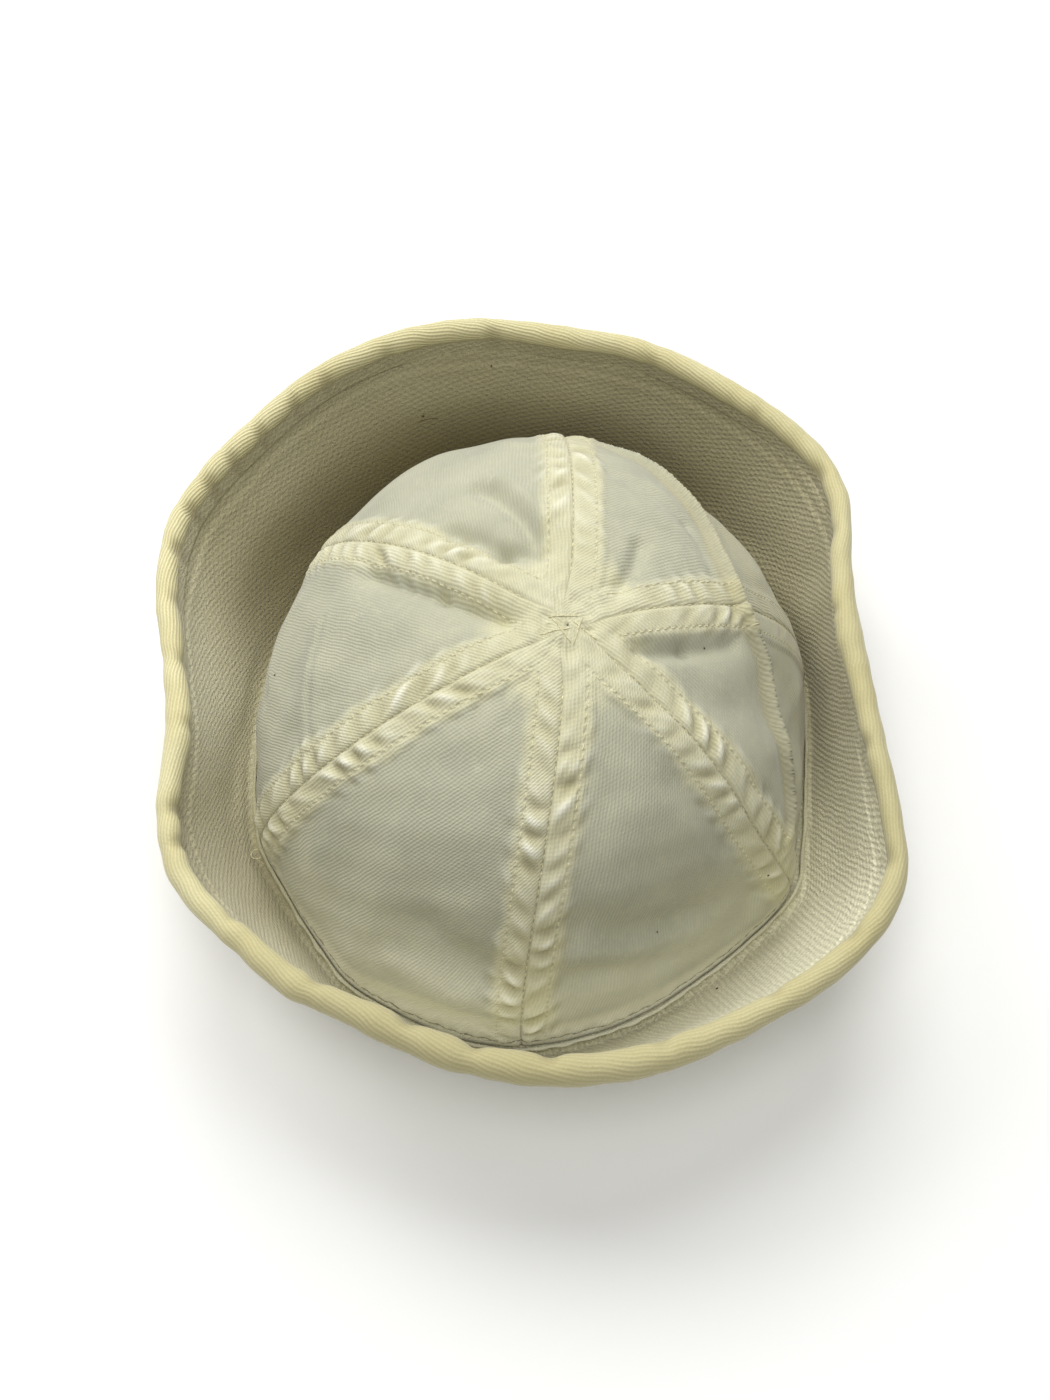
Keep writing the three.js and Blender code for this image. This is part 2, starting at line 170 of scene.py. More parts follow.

# Azimuths of the front, where the hem's puckers, the painted light on the hem and the crown's low part,
# and the lip's lean and painted light are strongest
HEM_FRONT = 262
PAINTED_LIGHT_FRONT = 265
LIP_FRONT = 275

# Smooth noise: how many waves, their lengths as shares of its size, and their phases
RIPPLE_WAVES = 9
RIPPLE_LENGTHS = (0.7, 1.5)
RIPPLE_PHASES = (0, 7)

# Heights of the bumps that only the materials make, in metres
CROWN_BUMP = 0.000045
BRIM_BUMP = 0.00026
RIM_BUMP = 0.00009
THREAD_BUMP = 0.00005

# Colours as a screen shows them, from 0 to 255
COLOURS = {
    "cool_dark": (174, 174, 153),
    "cool_light": (187, 186, 162),
    "warm_light": (213, 210, 178),
    "warm_dark": (204, 200, 164),
    "twill_valley": (120, 118, 92),
    "fibre": (150, 146, 118),
    # Painted shade and painted light on the crown's cloth
    "painted_shade": (152, 143, 104),
    "painted_light": (254, 253, 240),
    # Painted shade in the stitch holes
    "stitch_hole_shade": (128, 118, 82),
    "seam_line": (116, 106, 72),
    "hem_line": (88, 78, 50),
    "brim_light": (214, 207, 172),
    "brim_dark": (204, 196, 158),
    # Painted light and painted shade on the brim's cloth
    "brim_painted_light": (250, 246, 214),
    "brim_painted_shade": (152, 143, 108),
    "brim_shadow": (104, 93, 54),
    "brim_valley": (120, 112, 72),
    "brim_grain": (136, 127, 86),
    "roll_light": (234, 227, 181),
    "roll_dark": (223, 214, 164),
    # Painted shade on the roll, most at the front
    "roll_painted_shade": (178, 170, 128),
    "roll_rib": (134, 122, 74),
    "roll_fibre": (160, 148, 100),
    # Painted shade in the roll's notches and under the roll
    "roll_notch_shade": (120, 107, 66),
    "under_roll_shade": (112, 100, 62),
    "thread_light": (226, 220, 180),
    "thread_dark": (186, 176, 132),
    "lint_dark": (66, 56, 36),
    "lint_light": (112, 98, 66),
    "floor_dark": (246, 246, 244),
    "floor_light": (250, 250, 248),
}

# The camera: its place in metres, its tilt from straight down and its lens and sensor
CAMERA_PLACE = (0.00223, -0.24318, 0.54965)
CAMERA_TILT = 25
CAMERA_LENS = 50
CAMERA_SENSOR = 36

# The studio, in metres
FLOOR_HALF = 4.0
SKY_STRENGTH = 0.2
LIGHT_TARGET = (0.0, 0.0, 0.04)


def table(columns, *rows):
    """A table as one array of numbers for each named column."""
    return dict(zip(columns.split(), np.array(rows, float).T))


def table_rows(columns):
    """The rows of a table, each as its values by name."""
    return [dict(zip(columns, values)) for values in zip(*columns.values())]


FOOT_OUTLINE = table(
    "azimuth reach",
    (0, 1), (17, 1.015), (45, 1), (85, 1), (142, 1), (175, 1), (196, 1.03),
    (204, 1.04), (214, 1.02), (226, 1.02), (235, 1.033), (246, 1.015),
    (262, 1.01), (280, 0.985), (300, 0.978), (313, 1.005), (328, 1.058),
    (336, 1.03), (348, 1),
)

# The seams, with how strongly each one puckers and how far it curls at the star
SEAMS = table(
    "azimuth turn pucker curl",
    (17, -1, 0.8, -14), (84, 1, 0.8, 18), (140, 3, 1, -16),
    (203, 3, 1.1, 12), (268, -1, 1.2, -20), (328, -7, 1, 14),
)
SEAM_COUNT = len(SEAMS["azimuth"])

CREASE = table(
    "azimuth climb sharp",
    (0, 0.48, 1), (10, 0.54, 1), (20, 0.567, 1), (35, 0.543, 1), (47, 0.493, 1),
    (56, 0.463, 1), (66, 0.4, 0.8), (78, 0.31, 0.4), (92, 0.32, 0), (140, 0.42, 0),
    (220, 0.42, 0), (300, 0.42, 0), (318, 0.36, 0), (326, 0.26, 0.3),
    (333, 0.29, 0.8), (341, 0.377, 1), (350, 0.43, 1),
)

# Where the doubled hem ends, up from the crown's foot, as a climb
HEM_TOP = table(
    "azimuth climb",
    (0, 0.07), (90, 0.07), (180, 0.07), (225, 0.08), (234, 0.09), (246, 0.14), (255, 0.16),
    (267, 0.13), (281, 0.1), (293, 0.11), (302, 0.08), (320, 0.06),
)

# Soft folds: width as a share of the crown's height, depth as a share of FOLD_DEPTH
FOLDS = table(
    "azimuth climb to_azimuth to_climb width depth",
    (153, 0.54, 168, 0.88, 0.07, 0.9),
    (131, 0.68, 108, 0.84, 0.06, 0.4),
    (167, 0.42, 197, 0.41, 0.05, -0.3),
    (234, 0.36, 254, 0.33, 0.2, 0.7),
    (288, 0.38, 312, 0.32, 0.2, 0.6),
    (247, 0.34, 262, 0.28, 0.07, 0.6),
    (244, 0.21, 263, 0.2, 0.07, -0.6),
    (278, 0.4, 316, 0.18, 0.08, 0.9),
    (278, 0.33, 312, 0.2, 0.05, -0.4),
    (276, 0.27, 312, 0.12, 0.06, 0.6),
    (345, 0.84, 2, 0.6, 0.06, 0.4),
    (329, 0.78, 346, 0.48, 0.08, 0.4),
    (310, 0.62, 315, 0.42, 0.07, 0.6),
)

# Finer creases that only the fine surface shows
FINE_FOLDS = table(
    "azimuth climb to_azimuth to_climb width depth",
    (153, 0.52, 158, 0.73, 0.03, 0.7),
    (158, 0.73, 169, 0.88, 0.03, 0.8),
    (166, 0.43, 198, 0.41, 0.018, 0.25),
    (162, 0.13, 178, 0.19, 0.03, 0.2),
    (131, 0.68, 124, 0.8, 0.035, 0.9),
    (124, 0.8, 107, 0.84, 0.035, 1),
    (106, 0.61, 97, 0.77, 0.04, -0.6),
    (113, 0.6, 105, 0.8, 0.035, 0.9),
    (350, 0.68, 352, 0.52, 0.18, 0.6),
    (326, 0.48, 329, 0.4, 0.03, 0.3),
    (52, 0.76, 40, 0.87, 0.035, 0.7),
    (99, 0.43, 90, 0.5, 0.035, -0.4),
    (74, 0.57, 47, 0.57, 0.03, 0.22),
    (47, 0.57, 28, 0.61, 0.03, 0.22),
    (228, 0.84, 241, 0.79, 0.014, 0.18),
    (222, 0.79, 239, 0.7, 0.014, 0.18),
    (343, 0.85, 354, 0.74, 0.03, 0.7),
    (354, 0.74, 3, 0.59, 0.03, 0.4),
)

RIM = table(
    "azimuth lean roll",
    (0, 0.09, 1), (12, 0.055, 1), (22, 0.13, 1), (32, 0.31, 1), (41, 0.385, 1),
    (58, 0.33, 1), (75, 0.325, 1), (86, 0.31, 1), (100, 0.435, 1), (118, 0.53, 1),
    (135, 0.52, 1), (152, 0.57, 1), (163, 0.47, 1), (175, 0.325, 1), (190, 0.23, 1),
    (203, 0.335, 1), (213, 0.41, 1), (228, 0.305, 1.05), (245, 0.22, 1.2),
    (262, 0.25, 1.3), (280, 0.34, 1.25), (300, 0.41, 1.1), (317, 0.458, 1),
    (330, 0.38, 1), (345, 0.205, 1),
)

# Places where the roll is pinched at its inner edge: width in degrees, depth as a share
PINCHES = table(
    "azimuth width depth",
    (12, 1.5, 0.16), (27, 1.6, 0.16), (38, 1.8, 0.24), (52, 1.5, 0.14), (71, 1.6, 0.14),
    (96, 1.5, 0.2), (112, 1.3, 0.14), (122, 1.2, 0.2), (128, 1.2, 0.22), (135, 1.2, 0.24),
    (141, 1.1, 0.26), (146, 1.2, 0.3), (151, 1.1, 0.34), (158, 1.4, 0.32), (167, 1.6, 0.18),
    (178, 1.4, 0.18), (190, 1.5, 0.16), (203, 1.3, 0.3), (208, 1.2, 0.26), (222, 1.6, 0.16),
    (238, 1.6, 0.18), (252, 1.7, 0.26), (262, 1.4, 0.22), (272, 1.6, 0.24), (287, 1.8, 0.14),
    (304, 1.6, 0.16), (318, 1.8, 0.16), (330, 1.7, 0.2), (346, 1.5, 0.18),
)

# All the pinches go this many times as deep as the table says
PINCH_DEPTH = 1.3

# Where the two halves of the brim's lining meet
BRIM_SEAMS = (118, 298)

# How much the brim's ribs stand out, how much painted light (above 0) or painted shade (below 0) its cloth
# has, and how much painted shade the roll's has
BRIM_LOOK = table(
    "azimuth coarse pale dull",
    (0, 0.5, 0.2, 0.5), (25, 0.5, -0.1, 0.4), (50, 0.5, -0.35, 0.3), (75, 0.42, -0.5, 0.2),
    (100, 0.34, -0.45, 0.2), (118, 0.3, -0.45, 0.15), (150, 0.3, -0.3, 0), (180, 0.34, 0.6, 0),
    (205, 0.36, -0.1, 0), (225, 0.4, 0.3, 0.4), (250, 0.45, 1, 0.75), (275, 0.5, 1, 0.7),
    (300, 0.55, 1, 0.55), (320, 0.5, 1, 0.5), (338, 0.5, 0.8, 0.5),
)

# Where the roll's cloth is joined, how far the joint slants and how wide it is, all in degrees,
# and how deep it dips as a share of the roll
ROLL_JOINT = 284
JOINT_SLANT = 5
JOINT_WIDTH = 0.6
JOINT_DIP = 0.07

# Dark specks and short fibres on the cloth
CROWN_LINT = table(
    "azimuth climb length thick turn",
    (359, 0.676, 0.9, 0.24, 30), (320, 0.227, 0.8, 0.2, 0), (294, 0.29, 0.6, 0.2, 60),
    (175, 0.251, 1, 0.22, 80),
)
BRIM_LINT = table(
    "azimuth climb length thick turn",
    (108.6, 0.53, 0.8, 0.3, 20), (107.9, 0.49, 6, 0.09, 4), (96.6, 0.79, 0.9, 0.26, 90),
    (303.4, 0.15, 0.9, 0.26, 40),
)

# A loop of loose thread at the crown's foot
LOOP_AZIMUTH = 205
LOOP_RADIUS = 1.5

# Crossed threads where the seams meet: where each one starts and ends round the star
STAR_THREADS = table(
    "azimuth away to_azimuth to_away",
    (155, 5, 35, 3.5), (150, 4.5, 280, 4), (285, 4.5, 30, 4), (330, 8, 60, 1.5), (200, 7, 320, 1),
)

# The share of a half turn by which the flat cloth of half a brim is bent
ARC_SHARE = 0.43


def around(columns, name, azimuth):
    """A smooth closed curve through one column of a table, read at azimuths."""
    at, values = columns["azimuth"], columns[name]
    count = len(at)
    turned = np.mod(azimuth, 360)
    index = np.searchsorted(at, turned, side="right") - 1

    def row(step):
        place = index + step
        return at[place % count] + (place // count) * 360, values[place % count]

    (a0, v0), (a1, v1), (a2, v2), (a3, v3) = [row(step) for step in (-1, 0, 1, 2)]
    span = a2 - a1
    share = (turned - a1) / span
    slope_in = (v2 - v0) / (a2 - a0) * span
    slope_out = (v3 - v1) / (a3 - a1) * span
    square, cube = share**2, share**3
    return (
        (2 * cube - 3 * square + 1) * v1
        + (cube - 2 * square + share) * slope_in
        + (3 * square - 2 * cube) * v2
        + (cube - square) * slope_out
    )


def between(azimuth, start):
    """The turn from one azimuth to another, from -180 to 180 degrees."""
    return np.mod(azimuth - start + 180, 360) - 180


def smoothstep(value, low, high):
    share = np.clip((value - low) / (high - low), 0, 1)
    return share * share * (3 - 2 * share)


def bell(value, width, centre=0):
    """1 at the centre, falling off softly over the width."""
    return np.exp(-(((value - centre) / width) ** 2))


def ripple(points, size, seed):
    """Smooth noise between about -1 and 1, with waves of about the given size."""
    random = np.random.default_rng(seed)
    total = np.zeros(points.shape[:-1])
    for _ in range(RIPPLE_WAVES):
        direction = random.normal(size=points.shape[-1])
        direction /= np.linalg.norm(direction)
        length = size * random.uniform(*RIPPLE_LENGTHS)
        phase = random.uniform(*RIPPLE_PHASES)
        total += np.sin(points @ direction * (2 * math.pi / length) + phase)
    return total / math.sqrt(RIPPLE_WAVES)


def stacked(*parts):
    """Arrays of matching shapes, side by side along a new last axis."""
    return np.stack(np.broadcast_arrays(*parts), axis=-1)


def placed(reach, azimuth, height, aside=0, forward=0):
    angle = np.radians(azimuth)
    return stacked(
        FOOT_ASIDE + aside + reach * np.cos(angle),
        -FOOT_FORWARD - forward + reach * np.sin(angle),
        height,
    )


# The crown

def foot_radius(azimuth, climb=0):
    angle = np.radians(azimuth)
    across = FOOT_LENGTH / 2 * np.cos(angle)
    along = FOOT_WIDTH / 2 * np.sin(angle)
    ellipse = FOOT_WIDTH * FOOT_LENGTH / 4 / np.hypot(across, along)
    return ellipse * (1 + (around(FOOT_OUTLINE, "reach", azimuth) - 1) * (1 - climb))


def dome_radius(azimuth, climb):
    shrink = np.maximum(np.cos(climb * math.pi / 2), 0) ** (2 / DOME_POWER)
    return foot_radius(azimuth, climb) * shrink


def dome_point(azimuth, climb):
    rise = np.maximum(np.sin(climb * math.pi / 2), 0) ** (2 / DOME_POWER)
    drift = rise * rise
    height = FOOT_BASE + CROWN_HEIGHT * rise
    reach = dome_radius(azimuth, climb)
    return placed(reach, azimuth, height, STAR_ASIDE * drift, STAR_FORWARD * drift)


def dome_normal(azimuth, climb):
    step = 0.004
    low = np.maximum(climb - step, step / 4)
    high = np.minimum(climb + step, 1 - step / 4)
    sideways = dome_point(azimuth + 1, climb) - dome_point(azimuth - 1, climb)
    upwards = dome_point(azimuth, high) - dome_point(azimuth, low)
    normal = np.cross(sideways, upwards)
    return normal / np.linalg.norm(normal, axis=-1, keepdims=True)


def from_star(climb):
    """Length of cloth between a place and the star."""
    return (1 - climb) * CROWN_SLOPE


def seam_azimuth(seam, climb):
    share = np.sin(np.minimum(climb * math.pi, math.pi / 2))
    curl = bell(from_star(climb), STAR_CURL)
    return SEAMS["azimuth"][seam] + SEAMS["turn"][seam] * share + SEAMS["curl"][seam] * curl


def seam_place(azimuth, climb):
    """Distance to the nearest seam line, its side (-1 or 1) and the seam's number."""
    reach = dome_radius(azimuth, climb)
    turns = np.stack([
        between(azimuth, seam_azimuth(seam, climb)) for seam in range(SEAM_COUNT)
    ])
    seam = np.argmin(np.abs(turns), axis=0)
    turn = np.take_along_axis(turns, seam[None], axis=0)[0]
    return np.abs(np.radians(turn)) * reach, np.sign(turn), seam


def band_edge(smooth):
    """Half the width of a seam's band, which wanders a little along the seam."""
    wander = 0.6
    return SEAM_WIDTH / 2 - wander + wander * ripple(smooth, size=19, seed=11)


def band_lift(distance, climb, smooth):
    """The allowances below lift the seam's two bands, with a fine groove between them."""
    edge = band_edge(smooth)
    band = 1 - smoothstep(distance, edge - BAND_EDGE / 2, edge + BAND_EDGE / 2)
    clear_of_star = smoothstep(from_star(climb), *GROOVE_START)
    groove = SEAM_GROOVE * bell(distance, GROOVE_WIDTH) * clear_of_star
    return BAND_LIFT * band * np.minimum(1, climb / SEAM_RISE) - groove


def puckers(distance, side, seam, climb):
    """Pillows that the stitching draws up in each half of a seam: their lift, and the share of painted
    shade in their hollows, with painted highlight on their tops.
    """
    along = from_star(climb)
    number = seam * 2 + (side > 0)

    def uneven(amount, length, turn):
        """A slow wave along the seam, turned further in each of its bands."""
        return amount * np.sin(along / length + number * turn)

    wander = uneven(1.9, length=9.7, turn=1.9) + uneven(1.1, length=4.3, turn=4.1)
    slant = PUCKER_SLANT * (1 + uneven(0.5, length=7.1, turn=1.3))
    phase = (along + slant * distance + wander + number * 3.3) / PUCKER_LENGTH
    pillow = np.abs(np.sin(math.pi * phase)) ** PUCKER_SHARP
    fine = 0.16 * np.sin(math.pi * (along + distance) / PUCKER_LENGTH * 2.7 + number * 5)
    pillow = pillow + fine * smoothstep(distance, 0.5, 3)
    strength = SEAMS["pucker"][seam] * (0.85 + uneven(0.4, length=6.3, turn=2.3))
    away_from_star = 0.2 + 0.8 * smoothstep(along, *PUCKER_START)
    strength = strength * away_from_star * np.minimum(1, climb / SEAM_RISE)
    within = np.sin(math.pi * np.clip(distance / EDGE_STITCH, 0, 1)) ** 0.8
    outside = 0.4 * bell(distance - EDGE_STITCH, 1.8, centre=2)
    outside = outside * smoothstep(distance, EDGE_STITCH, EDGE_STITCH + 1)
    spread_out = within + outside
    lift = PUCKER_HEIGHT * strength * spread_out * (pillow - 0.5)
    # Above 0 this paints shade in the hollows; below 0 it paints a highlight on pillow tops
    hollow = strength * spread_out * (np.clip(1 - pillow, 0, 1) ** 1.5 - 0.25 * pillow**3)
    return lift, hollow


def crease_place(azimuth, climb):
    """How sharp the crease is, and how far above it a place lies along the cloth."""
    sharp = np.clip(around(CREASE, "sharp", azimuth), 0, 1)
    return sharp, (climb - around(CREASE, "climb", azimuth)) * CROWN_SLOPE


def crease_lift(azimuth, climb):
    """The folded edge stands up sharply, with a dip just above it."""
    sharp, above = crease_place(azimuth, climb)
    slow = np.exp(-np.abs(above) / (CREASE_LIFT * CREASE_SPREAD))
    quick = np.exp(-np.abs(above) / (CREASE_LIFT * CREASE_QUICK))
    inside = CREASE_LIFT * quick - CREASE_DIP * (slow - quick)
    sunk = CREASE_UNDER * (1 - slow) * (1 + above / CREASE_FADE)
    outside = CREASE_LIFT * np.exp(above / CREASE_ROUND) - sunk
    return sharp * np.where(above < 0, outside, inside)


def fold_lift(folds, azimuth, climb):
    reach = dome_radius(azimuth, climb)
    lift = np.zeros(np.shape(azimuth))
    for fold in table_rows(folds):
        x = np.radians(between(azimuth, fold["azimuth"])) * reach
        y = (climb - fold["climb"]) * CROWN_SLOPE
        length = np.radians(between(fold["to_azimuth"], fold["azimuth"])) * reach
        height = (fold["to_climb"] - fold["climb"]) * CROWN_SLOPE
        nearest = np.clip((x * length + y * height) / (length**2 + height**2), 0, 1)
        away = np.hypot(x - nearest * length, y - nearest * height)
        wide = fold["width"] * CROWN_HEIGHT
        lift -= FOLD_DEPTH * fold["depth"] * bell(away, wide)
    return lift * np.minimum(1, climb / FOLD_RISE)


def star_lift(climb, distance, smooth):
    """Small pits and wrinkles at the star, where six seams draw the cloth in."""
    along = from_star(climb)
    ring = bell(along, 1.6, centre=5.5)
    wrinkles = 0.34 * ripple(smooth, size=5, seed=51) * bell(along, 16)
    return wrinkles - STAR_PIT * ring * smoothstep(distance, 0.8, 2.4)


def hem_lift(azimuth, climb):
    """Short upright puckers above the foot, where the hem is stitched."""
    along = np.radians(azimuth) * FOOT_WIDTH / 2
    wave = np.sin(along / 0.8 + 2 * np.sin(along / 3.7)) + 0.5 * np.sin(along / 2.1)
    wave = wave * bell(between(azimuth, HEM_FRONT), 48)
    height = climb * CROWN_SLOPE
    drawn_in = HEM_DIP * bell(height, 0.8, centre=HEM_STITCH)
    return HEM_PUCKER * wave * bell(height, 2.4, centre=6.5) - drawn_in


def flattened(azimuth, climb):
    """How much of its pillows a seam keeps on the strip outside the crease."""
    return 1 - 0.8 * strip_share(azimuth, climb)


def crown_lift(azimuth, climb):
    """How far the crown's outer face stands off the smooth dome."""
    distance, side, seam = seam_place(azimuth, climb)
    smooth = dome_point(azimuth, climb)
    slack = 0.55 * ripple(smooth, size=34, seed=5) + 0.26 * ripple(smooth, size=13, seed=6)
    open_cloth = smoothstep(distance, SEAM_WIDTH / 2, SEAM_WIDTH) * np.minimum(1, climb / FOLD_RISE)
    return (
        band_lift(distance, climb, smooth)
        + puckers(distance, side, seam, climb)[0] * flattened(azimuth, climb)
        + crease_lift(azimuth, climb)
        + fold_lift(FOLDS, azimuth, climb)
        + fold_lift(FINE_FOLDS, azimuth, climb)
        + star_lift(climb, distance, smooth)
        + hem_lift(azimuth, climb)
        + slack * open_cloth
    )


def crown_points(azimuth, climb, depth):
    lift = crown_lift(azimuth, climb) - depth
    return dome_point(azimuth, climb) + dome_normal(azimuth, climb) * lift[..., None]


def creaminess(azimuth, climb):
    """Share of the warmer tone of doubled cloth: over the seams, the star and the hem."""
    distance, _, _ = seam_place(azimuth, climb)
    smooth = dome_point(azimuth, climb)
    edge = band_edge(smooth)
    seams = 1 - smoothstep(distance, edge - CREAM_INSIDE, edge + CREAM_OUTSIDE)
    star = 1 - smoothstep(from_star(climb), *STAR_CREAM)
    hem_top = around(HEM_TOP, "climb", azimuth)
    hem = 1 - smoothstep(climb, hem_top - HEM_FADE, hem_top + HEM_FADE)
    return np.maximum.reduce([seams, star, hem, STRIP_CREAM * strip_share(azimuth, climb)])


def strip_share(azimuth, climb):
    """The strip of cloth that is folded over outside the crease."""
    sharp, above = crease_place(azimuth, climb)
    return sharp * smoothstep(-above, -0.6, 0.6)


def shadow_share(azimuth, climb):
    """Painted shade between pillows and above the crease; below 0 it is painted light, on pillow tops and
    at the front over the hem and the crown's low part.
    """
    distance, side, seam = seam_place(azimuth, climb)
    sharp, above = crease_place(azimuth, climb)
    _, hollow = puckers(distance, side, seam, climb)
    hollow = hollow * flattened(azimuth, climb)
    # Painted shade just above the crease
    over_crease = 0.9 * sharp * bell(above, 2, centre=2)
    # Painted light at the front, over the hem and the crown's low part
    front = bell(between(azimuth, PAINTED_LIGHT_FRONT), 50)
    hem = 1 - smoothstep(climb, 0.04, around(HEM_TOP, "climb", azimuth) + HEM_FADE)
    low = 1 - smoothstep(climb, 0.12, 0.34)
    return hollow + over_crease - front * (hem + 0.3 * low)


# Mesh building

def grid_faces(rows, columns):
    row, column = np.meshgrid(np.arange(rows - 1), np.arange(columns - 1), indexing="ij")
    here = row * columns + column
    return np.stack([here, here + 1, here + columns + 1, here + columns], -1).reshape(-1, 4)


def border(rows, columns):
    """The grid's outer vertices, in order, the first one again at the end."""
    index = np.arange(rows * columns).reshape(rows, columns)
    return np.concatenate(
        [index[0, :-1], index[:-1, -1], index[-1, :0:-1], index[:0:-1, 0], index[0, :1]]
    )


def cloth_piece(name, points, faces, flat_faces, fields, material):
    """An object from points in millimetres. Fields are values at each corner of each face."""
    mesh = bpy.data.meshes.new(name)
    mesh.vertices.add(len(points))
    mesh.vertices.foreach_set("co", (points * MM).astype(np.float32).ravel())
    mesh.loops.add(faces.size)
    mesh.loops.foreach_set("vertex_index", faces.astype(np.int32).ravel())
    mesh.polygons.add(len(faces))
    mesh.polygons.foreach_set("loop_start", np.arange(0, faces.size, faces.shape[1], dtype=np.int32))
    smooth = np.ones(len(faces), bool)
    smooth[len(faces) - flat_faces:] = False
    mesh.polygons.foreach_set("use_smooth", smooth)
    mesh.update(calc_edges=True)
    for field, values in fields.items():
        kind, key = ("FLOAT_VECTOR", "vector") if values.ndim == 3 else ("FLOAT", "value")
        layer = mesh.attributes.new(field, kind, "CORNER")
        layer.data.foreach_set(key, values.astype(np.float32).ravel())
    mesh.materials.append(material)
    piece = bpy.data.objects.new(name, mesh)
    bpy.context.scene.collection.objects.link(piece)
    return piece


def shell_piece(name, outer, inner, fields, material):
    """A thin closed sheet between two facing grids, with fields given at the grid's points."""
    rows, columns = outer.shape[:2]
    count = rows * columns
    faces = grid_faces(rows, columns)
    rim = border(rows, columns)
    sides = np.stack([rim[:-1] + count, rim[1:] + count, rim[1:], rim[:-1]], -1)
    every = np.concatenate([faces, faces[:, ::-1] + count, sides])
    points = np.concatenate([outer.reshape(-1, 3), inner.reshape(-1, 3)])
    corner_fields = {}
    for field, values in fields.items():
        flat = values.reshape(count, *values.shape[2:])
        corner_fields[field] = np.concatenate([flat, flat])[every]
    return cloth_piece(name, points, every, len(sides), corner_fields, material)


def ring_piece(name, points, along, across, fields, material):
    """A closed ring of sections by points. Cloth runs along the ring and across the section."""
    sections, corners = points.shape[:2]
    section, corner = np.meshgrid(np.arange(sections), np.arange(corners), indexing="ij")
    following = (section + 1) % sections
    upper = (corner + 1) % corners
    faces = np.stack(
        [section * corners + corner, following * corners + corner,
         following * corners + upper, section * corners + upper], -1,
    ).reshape(-1, 4)
    run = np.stack([along[section], along[section + 1], along[section + 1], along[section]], -1)
    climb = np.stack([across[corner], across[corner], across[corner + 1], across[corner + 1]], -1)
    cloth = np.stack([run, climb, np.zeros_like(run)], -1).reshape(-1, 4, 3)
    corner_fields = {"cloth": cloth}
    for field, values in fields.items():
        corner_fields[field] = values.reshape(-1)[faces]
    return cloth_piece(name, points.reshape(-1, 3), faces, 0, corner_fields, material)


def joined(parts):
    """One mesh's points and faces from several, all with faces of as many corners."""
    points, faces, offset = [], [], 0
    for part_points, part_faces in parts:
        points.append(part_points)
        faces.append(part_faces + offset)
        offset += len(part_points)
    return np.concatenate(points), np.concatenate(faces)


def thread_tube(path, radius):
    """A closed thread along a path, drawn in to a point at both ends."""
    sides = THREAD_SIDES
    tangent = np.gradient(path, axis=0)
    tangent /= np.linalg.norm(tangent, axis=1, keepdims=True)
    helper = np.where(np.abs(tangent[:, 2:3]) > 0.9, [[1.0, 0, 0]], [[0, 0, 1.0]])
    side = np.cross(tangent, helper)
    side /= np.linalg.norm(side, axis=1, keepdims=True)
    up = np.cross(side, tangent)
    thick = np.full(len(path), radius)
    thick[0] = thick[-1] = radius * 0.15
    angle = np.arange(sides) * 2 * math.pi / sides
    ring = (
        side[:, None] * np.cos(angle)[None, :, None] + up[:, None] * np.sin(angle)[None, :, None]
    )
    points = (path[:, None] + ring * thick[:, None, None]).reshape(-1, 3)
    step, turn = np.meshgrid(np.arange(len(path) - 1), np.arange(sides), indexing="ij")
    after = (turn + 1) % sides
    faces = np.stack(
        [step * sides + turn, (step + 1) * sides + turn,
         (step + 1) * sides + after, step * sides + after], -1,
    ).reshape(-1, 4)
    middle = np.arange(sides // 2 - 1)
    caps = []
    for base, flip in ((0, False), ((len(path) - 1) * sides, True)):
        cap = np.stack([
            base + middle, base + middle + 1, base + sides - 2 - middle, base + sides - 1 - middle,
        ], -1)
        caps.append(cap if not flip else cap[:, ::-1])
    return points, np.concatenate([faces, *caps])


def thread_piece(name, parts, material):
    """One object from several threads or fibres."""
    points, faces = joined(parts)
    piece = cloth_piece(name, points, faces, 0, {}, material)
    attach(piece, "root")


# Materials

def socket(tree, target, value):
    if isinstance(value, (int, float, tuple)):
        target.default_value = value
    else:
        tree.links.new(value, target)


def calculate(tree, operation, *values):
    node = tree.nodes.new("ShaderNodeMath")
    node.operation = operation
    for target, value in zip(node.inputs, values):
        socket(tree, target, value)
    return node.outputs[0]


def times(tree, first, second):
    return calculate(tree, "MULTIPLY", first, second)


def mesh_field(tree, name):
    """What the mesh carries under a name."""
    node = tree.nodes.new("ShaderNodeAttribute")
    node.attribute_name = name
    return node.outputs


def value_field(tree, name):
    return mesh_field(tree, name)["Fac"]


def vector_field(tree, name):
    return mesh_field(tree, name)["Vector"]


def component(tree, vector, direction):
    node = tree.nodes.new("ShaderNodeVectorMath")
    node.operation = "DOT_PRODUCT"
    socket(tree, node.inputs[0], vector)
    node.inputs[1].default_value = direction
    return node.outputs["Value"]


def noise(tree, vector, scale, detail=3.0):
    node = tree.nodes.new("ShaderNodeTexNoise")
    socket(tree, node.inputs["Vector"], vector)
    node.inputs["Scale"].default_value = scale
    node.inputs["Detail"].default_value = detail
    return node.outputs["Fac"]


def blend(tree, share, first, second):
    node = tree.nodes.new("ShaderNodeMix")
    node.data_type = "RGBA"
    socket(tree, node.inputs["Factor"], share)
    socket(tree, node.inputs["A"], first)
    socket(tree, node.inputs["B"], second)
    return node.outputs["Result"]


def spread(tree, value, low, high, to_low=0.0, to_high=1.0):
    node = tree.nodes.new("ShaderNodeMapRange")
    for name, given in zip(("Value", "From Min", "From Max", "To Min", "To Max"),
                           (value, low, high, to_low, to_high)):
        socket(tree, node.inputs[name], given)
    return node.outputs["Result"]


def colour(name):
    """A named colour in the shader's own numbers."""
    shares = [value / 255 for value in COLOURS[name]]
    return tuple(
        share / 12.92 if share <= 0.04045 else ((share + 0.055) / 1.055) ** 2.4 for share in shares
    ) + (1.0,)


